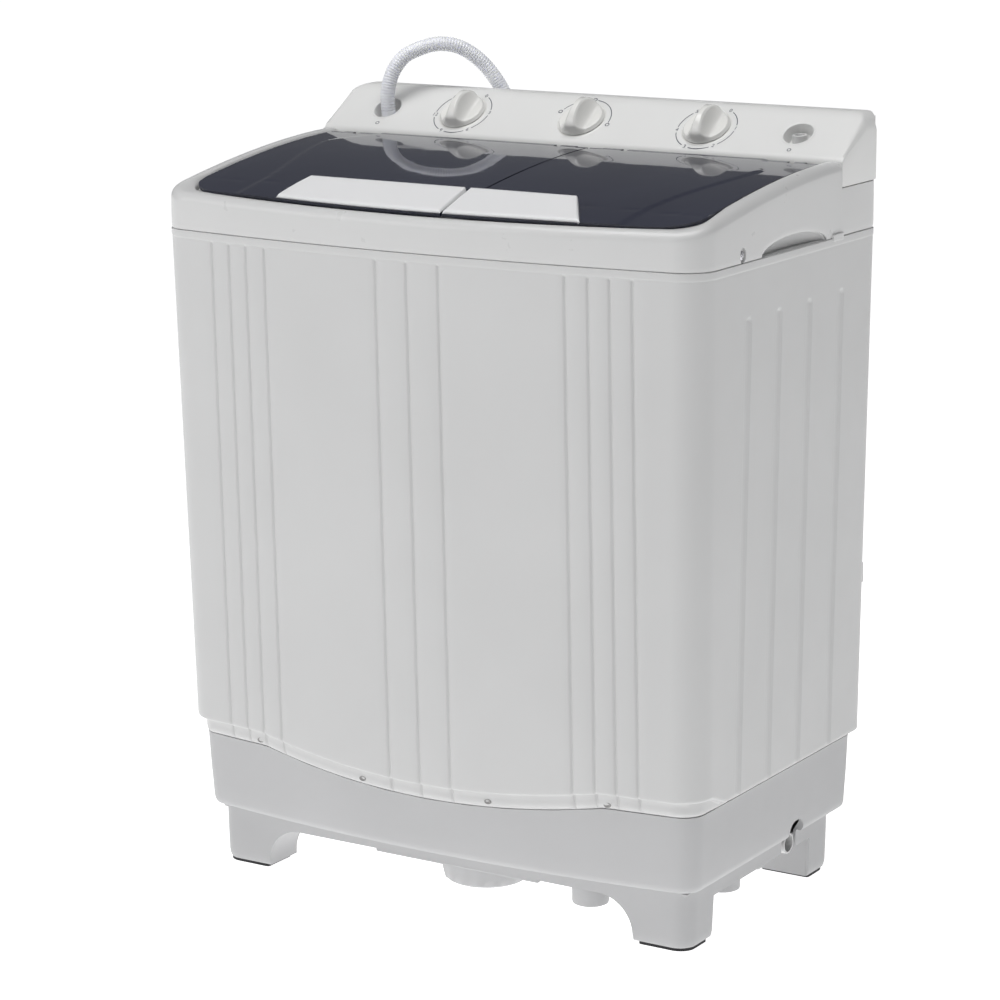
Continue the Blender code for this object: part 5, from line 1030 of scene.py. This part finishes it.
def consoleSection(shrink):
    # foot, slope, top and rear as one rounded line, drawn in towards its middle by shrink
    front, rear = cabinet["consoleFrontY"], cabinet["rearY"]
    bendZ = cabinet["consoleBendZ"]
    backY = front + (console["topZ"] - bendZ) / math.tan(cabinet["consoleSlope"])
    points = [(front, console["footZ"]), (front, bendZ), (backY, console["topZ"]),
              (rear, console["topZ"]), (rear, console["footZ"])]
    line = roundedProfile(points, [0.006, 0.012, 0.004], 7)
    middle = np.array([0.160, 0.79])
    away = line - middle
    return line - away / np.linalg.norm(away, axis=1)[:, None] * shrink


def makeConsole():
    # the section carried across: its height is held under a quarter circle at each end, and its rear
    # stays inside a quarter circle in plan
    half, r = console["half"], console["endRadius"]
    turn = np.radians([90, 70, 50, 32, 16, 0])
    inner = half - r - console["cornerRadius"]
    curve = inner + console["cornerRadius"] * np.sin(np.linspace(0, math.pi / 2, 14))
    rounding = (half - r + r * np.sin(turn[::-1]))[1:]
    right = np.concatenate([np.linspace(0, inner, 40)[:-1], curve, rounding])
    shrink = np.concatenate([np.zeros(39 + len(curve)), (r * (1 - np.cos(turn[::-1])))[1:]])
    xs = np.concatenate([-right[::-1][:-1], right])
    shrinks = np.concatenate([shrink[::-1][:-1], shrink])
    columns = []
    for x, drawn in zip(xs, shrinks):
        line = consoleSection(drawn)
        e = max(half - abs(x), 0.0)
        radius = console["cornerRadius"]
        inside = math.sqrt(max(radius ** 2 - max(radius - e, 0) ** 2, 0))
        cap = console["topZ"] - radius + inside - drawn * 0.5
        soft = 0.0015
        gap = line[:, 1] - cap
        z = line[:, 1] - np.where(gap > -soft, (np.clip(gap, -soft, None) + soft) ** 2 / (4 * soft), 0)
        z = np.where(gap > soft, cap, z)
        reach = max(console["planRadius"] - e - drawn, 0.0)
        rearAt = cabinet["rearY"] - console["planRadius"] + math.sqrt(console["planRadius"] ** 2 - reach ** 2)
        columns.append(np.stack([np.full(len(line), x), np.minimum(line[:, 0], rearAt), z], -1))
    grid = np.stack(columns)
    middles = [np.broadcast_to(grid[i].mean(0), grid[:1].shape) for i in (0, -1)]
    item = tidy(surface("consoleHousing", np.concatenate([middles[0], grid, middles[1]]), closeColumns=True),
                sharp=30)
    for side in (-1, 1):
        spot = Matrix.Translation(facePoint(side * console["portX"], console["knobAlong"])) @ faceTurn
        cutWith(item, rodMesh("hole", console["portRadius"] + 0.0004, -0.022, 0.02, spot))
    place(item, consoleWhite, replaces=("console_housing",))


def makePorts():
    # a bevelled cup sunk in the slope, with an upright nozzle standing in it
    r = console["portRadius"]
    wall = [(r + 0.0016, 0.0002), (r + 0.0006, 0.0005), (r - 0.0006, 0.0001), (r - 0.0012, -0.0012),
            (r - 0.0022, -0.009), (r - 0.0036, -0.0124), (r - 0.006, -0.0136), (0.0, -0.0138),
            (0.0, -0.0198), (r, -0.0198), (r, -0.0005)]
    for side, hand in ((-1, "left"), (1, "right")):
        x = side * console["portX"]
        spot = Matrix.Translation(facePoint(x, console["knobAlong"])) @ faceTurn
        cup = turned("inletPort" + hand.capitalize(), wall, 64, spot)
        place(cup, consoleWhite, replaces=("inlet_port_" + hand,))
        foot = facePoint(x, console["knobAlong"] - 0.007, -0.0190)
        rise = 0.0100 if side < 0 else 0.0185
        wide = 0.0072 if side < 0 else 0.0080
        pipe = [(0.0, 0.0), (wide + 0.0002, 0.0), (wide, rise * 0.5), (wide, rise - 0.0006),
                (wide - 0.0005, rise), (0.0056, rise), (0.0052, rise - 0.0006),
                (0.0052, rise - 0.006), (0.0, rise - 0.006)]
        lean = Matrix.Rotation(math.atan2(0.002, 0.0105 if side < 0 else 0.019), 4, "X")
        nozzle = turned("nozzle" + hand.capitalize(), pipe, 48, Matrix.Translation(foot) @ lean)
        place(nozzle, deckWhite)


def knobGrid():
    # height over a disc: a domed flange, and a blade across it whose sides ease down into the flange
    steps, rings = 180, 76
    radius = 0.0265
    r = np.linspace(0, 1, rings) ** 0.9 * (radius - 0.0004)
    r = np.concatenate([r, [radius - 0.0001, radius, radius]])
    a = np.linspace(0, 2 * math.pi, steps, endpoint=False)
    x, y = r[:, None] * np.cos(a), r[:, None] * np.sin(a)
    rr = np.repeat(r[:, None], steps, 1)
    share = rr / radius
    flange = 0.0048 - 0.0010 * share ** 2 - 0.0030 * ease(0.90, 1.0, share)
    crown = 0.0172 * np.sqrt(np.clip(1 - (y / (radius * 0.985)) ** 2, 0, 1))
    half = 0.0042 + 0.0030 * share ** 2
    fall = np.clip((np.abs(x) - half) / 0.0105, 0, 1)
    lip = 1 - 0.10 * ease(0.6, 1.0, np.abs(x) / half) * (np.abs(x) <= half)
    side = np.where(np.abs(x) <= half, lip, 0.90 * (1 - fall) ** 2.1)
    z = flange + crown * side * (1 - ease(0.955, 0.995, share))
    z[-2], z[-1] = 0.0006, 0.0
    x[-1] *= 0.98
    y[-1] *= 0.98
    return np.stack([x, y, z], -1)


def labelOf(name):
    return name.replace("_t", "T")


def makeKnobs():
    # the same knob three times on the slope, each over a fixed ring seat
    grid = knobGrid()
    foot = np.zeros_like(grid[:1])
    grid = np.concatenate([grid, foot], 0)
    for name, x in console["knobs"].items():
        spot = Matrix.Translation(facePoint(x, console["knobAlong"], 0.0006)) @ faceTurn
        knob = surface(labelOf(name) + "Knob", grid, closeColumns=True)
        knob.data.transform(spot)
        tidy(knob, merge=0.000005, sharp=50)
        place(knob, knobIvory, body=name, replaces=(name + "_knob",))
        seat = turned(labelOf(name) + "Seat",
                      [(0.0262, 0.0001), (0.0281, 0.0001), (0.0287, -0.0002), (0.0262, -0.0006)], 72,
                      Matrix.Translation(facePoint(x, console["knobAlong"])) @ faceTurn, closed=True)
        place(seat, knobIvory)


def arcGrid(radius, start, end, width, steps=40):
    # a flat ribbon along part of a circle, angles clockwise from straight up the slope
    a = np.radians(np.linspace(start, end, steps))
    rings = [(radius + d) * np.stack([np.sin(a), np.cos(a)], -1) for d in (-width / 2, width / 2)]
    flat = np.stack(rings, 0)
    return np.concatenate([flat, np.full((2, steps, 1), 0.00012)], -1)


def printed(item, x):
    # ink laid on the slope round the place x, facing out
    item.data.transform(Matrix.Translation(facePoint(x, console["knobAlong"])) @ faceTurn)
    if item.data.polygons[0].normal.z < 0:
        item.data.flip_normals()
    return place(item, ink)


def numeral(name, text, size, x, y):
    # a generic number as a flat mesh
    curve = bpy.data.curves.new(name, "FONT")
    curve.body, curve.size, curve.align_x, curve.align_y = text, size, "CENTER", "CENTER"
    curve.extrude, curve.resolution_u = 0.0, 3
    source = bpy.data.objects.new(name + "Curve", curve)
    bpy.context.scene.collection.objects.link(source)
    bpy.context.view_layer.update()
    mesh = bpy.data.meshes.new_from_object(source.evaluated_get(bpy.context.evaluated_depsgraph_get()))
    bpy.data.objects.remove(source)
    mesh.transform(Matrix.Translation((x, y, 0.00012)))
    item = bpy.data.objects.new(name, mesh)
    bpy.context.scene.collection.objects.link(item)
    return item


def makeDials():
    # broken arcs with numbers in the gaps round the timers, and a part arc with three marks for the selector
    scales = {"wash_timer": ("0", "3", "6", "9", "12", "15"), "spin_timer": ("0", "1", "2", "3", "4", "5")}
    for name, texts in scales.items():
        x = console["knobs"][name]
        label = labelOf(name)
        angles = np.linspace(28, 318, len(texts))
        for i, (text, angle) in enumerate(zip(texts, angles)):
            a = math.radians(angle)
            r = console["dialRadius"]
            spot = (r * math.sin(a), r * math.cos(a))
            printed(numeral("%sNumber%d" % (label, i), text, 0.0072, *spot), x)
            if i + 1 < len(texts):
                ribbon = surface("%sArc%d" % (label, i), arcGrid(r, angle + 8, angles[i + 1] - 8, 0.0009))
                printed(ribbon, x)
    x = console["knobs"]["selector"]
    for i, (start, end) in enumerate(((-62, -6), (8, 92))):
        ribbon = surface("selectorArc%d" % i, arcGrid(console["dialRadius"], start, end, 0.0009))
        printed(ribbon, x)
    for i, angle in enumerate((-70, 1, 98)):
        a = math.radians(angle)
        mark = surface("selectorMark%d" % i, arcGrid(0.0022, 0, 360, 0.0009, 20))
        mark.data.transform(Matrix.Translation((0.0345 * math.sin(a), 0.0345 * math.cos(a), 0.0)))
        printed(mark, x)
    for i, (x, y) in enumerate(((-0.258, -0.026), (0.258, -0.026))):
        drop = surface("waterMark%d" % i, arcGrid(0.0020, 0, 360, 0.0008, 20))
        drop.data.transform(Matrix.Translation((0.0, y, 0.0)))
        printed(drop, x)


makeConsole()
makePorts()
makeKnobs()
makeDials()
print("console made")

# both lids and their grip strips; a pair is where one starts and ends in x
lids = {
    "rear": 0.1025, "hingeY": 0.099, "hingeZ": 0.776671, "drop": 0.001, "thick": 0.0034,
    "corner": 0.036, "creaseIn": 0.074, "stripRear": -0.1455, "stripRise": 0.0105, "stripSheet": 0.0022,
    "wash": (-0.3045, 0.0288), "spin": (0.0312, 0.3045),
    "washStrip": (-0.177, 0.0286), "spinStrip": (0.0314, 0.160),
}


def lidFront(x):
    # the lid's front edge: the same parabola as the cabinet's bow
    return -0.1730 - cabinet["bow"] * (1 - (x / cabinet["halfWidth"]) ** 2)


def lidSurface(x0, x1, roundSide):
    # a sheet on the crest line: its outer front corner is a quarter circle, with a crease inside each border
    u = np.linspace(0, 1, 90)
    bunch = 0.5 - 0.5 * np.cos(u * math.pi)
    x = x0 + (x1 - x0) * (0.35 * bunch + 0.65 * u)
    outerGap = (x1 - x) if roundSide > 0 else (x - x0)
    corner = lids["corner"]
    cutIn = corner - np.sqrt(np.clip(corner ** 2 - np.maximum(corner - outerGap, 0) ** 2, 0, None))
    v = np.linspace(0, 1, 72)
    y = (lidFront(x) + cutIn)[:, None] + (lids["rear"] - lidFront(x) - cutIn)[:, None] * v
    xx = np.repeat(x[:, None], len(v), 1)
    z = crest(y) - lids["drop"]
    away = outerGap[:, None] - lids["creaseIn"] + 0.040 * ease(-0.16, 0.06, y) - 0.030 * ease(0.03, 0.10, y)
    z = z + 0.0011 * ease(-0.0009, 0.0009, away) - 0.0011
    z = z - 0.0005 * np.exp(-((y - lids["stripRear"] - 0.004) / 0.0012) ** 2)
    z = z - 0.0012 * np.exp(-((y - 0.094) / 0.0016) ** 2)
    return np.stack([xx, y, z], -1)


def makeLid(name, roundSide, body, node, knuckles, lugs):
    # the sheet thickened downwards, notched at the hinge lugs, with a knuckle ring on each hinge place
    x0, x1 = lids[name]
    sheet = surface(name + "Lid", lidSurface(x0, x1, roundSide))
    if sheet.data.polygons[0].normal.z < 0:
        sheet.data.flip_normals()
    solid = sheet.modifiers.new("sheet", "SOLIDIFY")
    solid.thickness, solid.offset = lids["thick"], -1.0
    bpy.context.view_layer.update()
    graph = bpy.context.evaluated_depsgraph_get()
    mesh = bpy.data.meshes.new_from_object(sheet.evaluated_get(graph))
    sheet.modifiers.clear()
    sheet.data = mesh
    y, z = lids["hingeY"], lids["hingeZ"]
    cuts = [(x - 0.0038, x + 0.0038, y - 0.0085) for x in lugs]
    trimmed = {"wash": (-0.288, 0.013), "spin": (0.047, 0.288)}[name]
    cuts += [(x0 - 0.001, trimmed[0], y - 0.0015), (trimmed[1], x1 + 0.001, y - 0.0015)]
    for a, b, start in cuts:
        box = boxGrid((a, start, z - 0.002), (b, 0.110, z + 0.02))
        cutWith(sheet, tidy(surface("cut", box, closeColumns=True)))
    tidy(sheet, merge=0.000002, sharp=40)
    place(sheet, smoke, body=body, replaces=(node,))
    ring = [(0.0026, -0.006), (0.0042, -0.006), (0.0046, -0.0056),
            (0.0046, 0.0056), (0.0042, 0.006), (0.0026, 0.006)]
    for i, x in enumerate(knuckles):
        spot = Matrix.Translation((x, y, z)) @ Matrix.Rotation(math.pi / 2, 4, "Y")
        knuckle = turned("%sKnuckle%d" % (name, i), ring, 40, spot, closed=True)
        place(knuckle, smoke, body=body)


def stripSurface(x0, x1, slant):
    # a shallow wedge over the lid: its height rises to the rear as a power of the way back, and falls
    # to the lid on quarter ellipses at the front and at both ends
    edge = np.array([0, 0.02, 0.08, 0.2, 0.36, 0.55, 0.75, 0.9, 1.0]) * 0.0032
    u = np.concatenate([edge, np.linspace(0.0036, x1 - x0 - 0.0036, 60)[1:-1], (x1 - x0) - edge[::-1]])
    v = np.concatenate([np.linspace(0, 0.09, 10), np.linspace(0.09, 1.0, 26)[1:]])
    x = x0 + u
    front = lidFront(x) + 0.0004
    reach = lids["stripRear"] - front
    y = front[:, None] + reach[:, None] * v
    low, high = slant
    start = np.clip(1 - u / 0.06, 0, 1)[:, None] ** 2
    end = np.clip((u - (x1 - x0) + 0.06) / 0.06, 0, 1)[:, None] ** 2
    xx = x[:, None] + low * (v ** 1.6)[None, :] * start + high * (1 - v[None, :]) * end
    ends = np.minimum(u, (x1 - x0) - u)
    lift = np.sqrt(np.clip(1 - (1 - np.clip(ends / 0.0026, 0, 1)) ** 2, 0, 1))[:, None]
    lip = np.sqrt(np.clip(1 - (1 - np.clip(v / 0.07, 0, 1)) ** 2, 0, 1))[None, :]
    height = 0.0030 + (lids["stripRise"] - 0.0030) * v[None, :] ** 1.05
    z = crest(y) - lids["drop"] + 0.0004 + height * lift * lip
    return np.stack([xx, y, z], -1)


def makeStrip(name, key, body, node, slant):
    # the wedge as a moulded sheet that is open underneath at its rear, for the fingers
    x0, x1 = lids[key]
    strip = surface(name, stripSurface(x0, x1, slant))
    if strip.data.polygons[len(strip.data.polygons) // 2].normal.z < 0:
        strip.data.flip_normals()
    strip.data.shade_smooth()
    solid = strip.modifiers.new("sheet", "SOLIDIFY")
    solid.thickness, solid.offset, solid.use_rim = lids["stripSheet"], -1.0, True
    place(strip, stripWhite, body=body, replaces=(node,))


makeLid("wash", -1, "wash_lid", "wash_lid", (-0.262, 0.0), (-0.2716, -0.0096))
makeLid("spin", 1, "spin_lid", "spin_lid", (0.064, 0.262), (0.0736, 0.2716))
makeStrip("washStrip", "washStrip", "wash_lid", "wash_lid_handle", (0.0125, 0.0))
makeStrip("spinStrip", "spinStrip", "spin_lid", "spin_lid_handle", (0.0, 0.028))
print("lids made")

# the tub, the pulsator's place and the spin basket
inside = {
    "tubX": (-0.292, 0.012), "tubY": (-0.16748, 0.160), "tubTop": 0.6997, "tubFloor": 0.250, "wall": 0.0024,
    "wash": (-0.140, -0.00494), "spin": (0.168, -0.0325), "basketRadius": 0.115, "basketTop": 0.690,
    "basketFloor": 0.300, "mouth": 0.098,
}


def roundRect(x0, x1, y0, y1, radius, steps=10):
    # four arcs joined by straight runs that are split for the flutes
    points = []
    for cx, cy, start in ((x1 - radius, y0 + radius, -90), (x1 - radius, y1 - radius, 0),
                          (x0 + radius, y1 - radius, 90), (x0 + radius, y0 + radius, 180)):
        a = np.radians(start + np.linspace(0, 90, steps))
        points.append(np.stack([cx + radius * np.cos(a), cy + radius * np.sin(a)], -1))
    ring = np.concatenate(points)
    closed = np.vstack([ring, ring[:1]])
    length = np.concatenate([[0], np.cumsum(np.linalg.norm(np.diff(closed, axis=0), axis=1))])
    even = np.linspace(0, length[-1], 240, endpoint=False)
    return np.stack([np.interp(even, length, closed[:, k]) for k in range(2)], -1)


def makeWashTub():
    # rounded-rectangle rings from rim to floor, fluted by a cosine round the wall, then the floor's rings
    (x0, x1), (y0, y1) = inside["tubX"], inside["tubY"]
    top, floor, w = inside["tubTop"], inside["tubFloor"], inside["wall"]
    keys = np.array([    # inset left, right, front and rear, corner radius, height
        (w, w, w, 0.0555 + w, 0.040, top),
        (w, w, w, 0.0555 + w, 0.040, top - 0.035),
        (w, w, w - 0.001, w, 0.050, top - 0.090),
        (0.008 + w, 0.006 + w, 0.002 + w, 0.004 + w, 0.058, floor + 0.050),
        (0.018 + w, 0.014 + w, 0.012 + w, 0.014 + w, 0.060, floor + 0.012),
        (0.034 + w, 0.030 + w, 0.028 + w, 0.030 + w, 0.060, floor + 0.0005)])
    t = np.linspace(0, 5, 46)
    smooth = np.stack([np.interp(t, np.arange(6), keys[:, k]) for k in range(6)], -1)
    rows = []
    phase = np.cos(np.linspace(0, 2 * math.pi * 36, 240, endpoint=False))
    for left, right, front, rear, radius, z in smooth:
        ring = roundRect(x0 + left, x1 - right, y0 + front, y1 - rear, radius)
        middle = ring.mean(0)
        fade = ease(top - 0.02, top - 0.10, z) * ease(floor + 0.010, floor + 0.06, z)
        pull = 1 + 0.0016 * fade * np.clip(phase, 0, 1)[:, None] / 0.15
        ring = middle + (ring - middle) / pull
        rows.append(np.concatenate([ring, np.full((240, 1), z)], 1))
    last = rows[-1]
    centre = np.array([*inside["wash"], floor + 0.0005])
    for share in (0.8, 0.6, 0.4, 0.12):
        rows.append(centre + (last - centre) * share)
    tub = surface("washTub", np.stack(rows), closeColumns=True)
    tub.data.flip_normals()
    tub.data.shade_smooth()
    sheet = tub.modifiers.new("sheet", "SOLIDIFY")
    sheet.thickness, sheet.offset = w * 0.9, -1.0
    place(tub, tubBlueWhite, replaces=("wash_tub",))


def makePulsator():
    # a disc whose height is a low cone plus three swept blades, each a bell across its own spiral
    steps, rings = 180, 48
    radius = 0.112
    r = np.linspace(0, radius, rings)[:, None]
    a = np.linspace(0, 2 * math.pi, steps, endpoint=False)[None, :]
    cone = 0.020 * (1 - ease(0.0, 1.0, r / 0.085)) + 0.004
    spiral = 3 * (a - math.radians(30) - 2.4 * (r / radius - 0.5) * 0.35)
    width = 0.35 + 0.5 * (1 - r / radius)
    blade = np.exp(-((np.arccos(np.clip(np.cos(spiral), -1, 1)) / width) ** 2) / 0.8)
    fade = ease(0.010, 0.026, r) * (1 - ease(0.094, 0.106, r))
    z = np.maximum(cone, 0.024 * blade * fade + 0.002)
    dots = 0.0011 * (np.cos(a * 24) > 0.55) * (np.abs(r - 0.0995) < 0.0032)
    z = z - dots
    grid = np.stack([r * np.cos(a), r * np.sin(a), z], -1)
    rim = grid[-1:].copy()
    rim[..., 2] = 0.0
    bottom = rim * (0, 0, 0)
    item = surface("pulsatorDisc", np.concatenate([grid, rim, bottom]), closeColumns=True)
    item.data.transform(Matrix.Translation((*inside["wash"], 0.2580)))
    place(tidy(item, merge=0.000005, sharp=40), tubBlueWhite, body="pulsator",
          replaces=("pulsator",))


def makeBasket():
    # the basket's wall as a closed turned section, with its own round-and-up parameters for the drain holes
    r, top, floor = inside["basketRadius"], inside["basketTop"], inside["basketFloor"]
    outer = [(inside["mouth"], top), (r - 0.002, top), (r, top - 0.010), (r - 0.003, floor + 0.010),
             (r - 0.012, floor), (0.001, floor)]
    outer = roundedProfile(outer, [0.002, 0.004, 0.01, 0.006], 5)
    innerLine = [(0.001, floor + 0.003), (r - 0.014, floor + 0.003), (r - 0.005, floor + 0.012),
                 (r - 0.002, top - 0.010), (r - 0.006, top - 0.002), (inside["mouth"], top - 0.002)]
    innerLine = roundedProfile(innerLine, [0.004, 0.006, 0.004, 0.002], 5)
    profile = np.concatenate([outer, innerLine])
    steps = 128
    grid = turnedGrid(profile, steps + 1)
    angle = np.linspace(0, 2 * math.pi, steps + 1)
    grid[..., 0] = profile[:, 0, None] * np.cos(angle)
    grid[..., 1] = profile[:, 0, None] * np.sin(angle)
    v = np.clip(profile[:, 1], floor + 0.020, top - 0.020)
    uv = np.stack([np.repeat((angle / (2 * math.pi))[None, :], len(profile), 0),
                   np.repeat(v[:, None], steps + 1, 1)], -1)
    item = surface("spinBasket", grid, closeRows=True, uv=uv)
    item.data.transform(Matrix.Translation((*inside["spin"], 0.0)))
    holes = drilledPlastic("basketHoles", (0.70, 0.74, 0.79), 44.0, 55.0)
    place(tidy(item), holes, body="basket", replaces=("spin_basket",))


makeWashTub()
makePulsator()
makeBasket()
print("tubs made")

# the rear cover's field
rear = {"half": 0.235, "low": 0.215, "high": 0.640, "y": 0.2018, "thick": 0.0012}


def makeRearCover():
    # a pressed sheet: raised field, two crossing beads and a block of louvres, as heights over a rectangle
    u, v = np.meshgrid(np.linspace(-1, 1, 190), np.linspace(0, 1, 170))
    x = u * rear["half"]
    z = rear["low"] + (rear["high"] - rear["low"]) * v
    edge = np.minimum(rear["half"] - np.abs(x), np.minimum(z - rear["low"], rear["high"] - z))
    lift = 0.0008 * ease(0.012, 0.020, edge)
    bead = np.exp(-((np.abs(x) - 0.150) / 0.004) ** 2) * ease(0.04, 0.05, edge)
    louvre = (np.cos((z - 0.300) / 0.012 * 2 * math.pi) * 0.5 + 0.5) ** 3
    block = ease(0.0, 0.006, 0.060 - np.abs(x + 0.02)) * ease(0, 0.006, z - 0.285) * ease(0, 0.006, 0.375 - z)
    y = rear["y"] + 0.0012 + lift - 0.0006 * bead + 0.0011 * louvre * block * (1 - bead)
    cover = surface("rearCover", np.stack([x, np.clip(y, None, 0.2055), z], -1))
    if cover.data.polygons[0].normal.y < 0:
        cover.data.flip_normals()
    cover.data.shade_smooth()
    sheet = cover.modifiers.new("sheet", "SOLIDIFY")
    sheet.thickness, sheet.offset = rear["thick"], -1.0
    place(cover, shell, replaces=("rear_cover",))
    turn = Matrix.Rotation(-math.pi / 2, 4, "X")
    for i, (x, z) in enumerate([(sx * 0.228, z) for sx in (-1, 1) for z in (0.222, 0.428, 0.633)]):
        screwHead("coverScrew%d" % i, 0.0040, 0.0016, Matrix.Translation((x, 0.2032, z)) @ turn)
    for i, x in enumerate((-0.29, -0.10, 0.10, 0.29)):
        screwHead("backScrew%d" % i, 0.0040, 0.0014, Matrix.Translation((x, 0.2012, 0.7560)) @ turn)


makeRearCover()
print("rear made")


def finishFrame():
    # the frame's own pieces take the finish of their slot
    chosen = {
        "white_shell": shell, "base_plastic": baseWhite, "smoke_lid": smoke, "knob_plastic": knobIvory,
        "tub_plastic": tubBlueWhite, "rubber": rubber, "steel": plated, "motor_metal": castGrey,
        "timer_plastic": timerCase, "hose_plastic": hoseMilk, "connector_plastic": deckWhite,
    }
    for part in frame["record"]["subparts"]:
        item = frame["nodes"][part["node"]]
        item.data.materials.clear()
        item.data.materials.append(chosen[part["material_slot"]])


finishFrame()
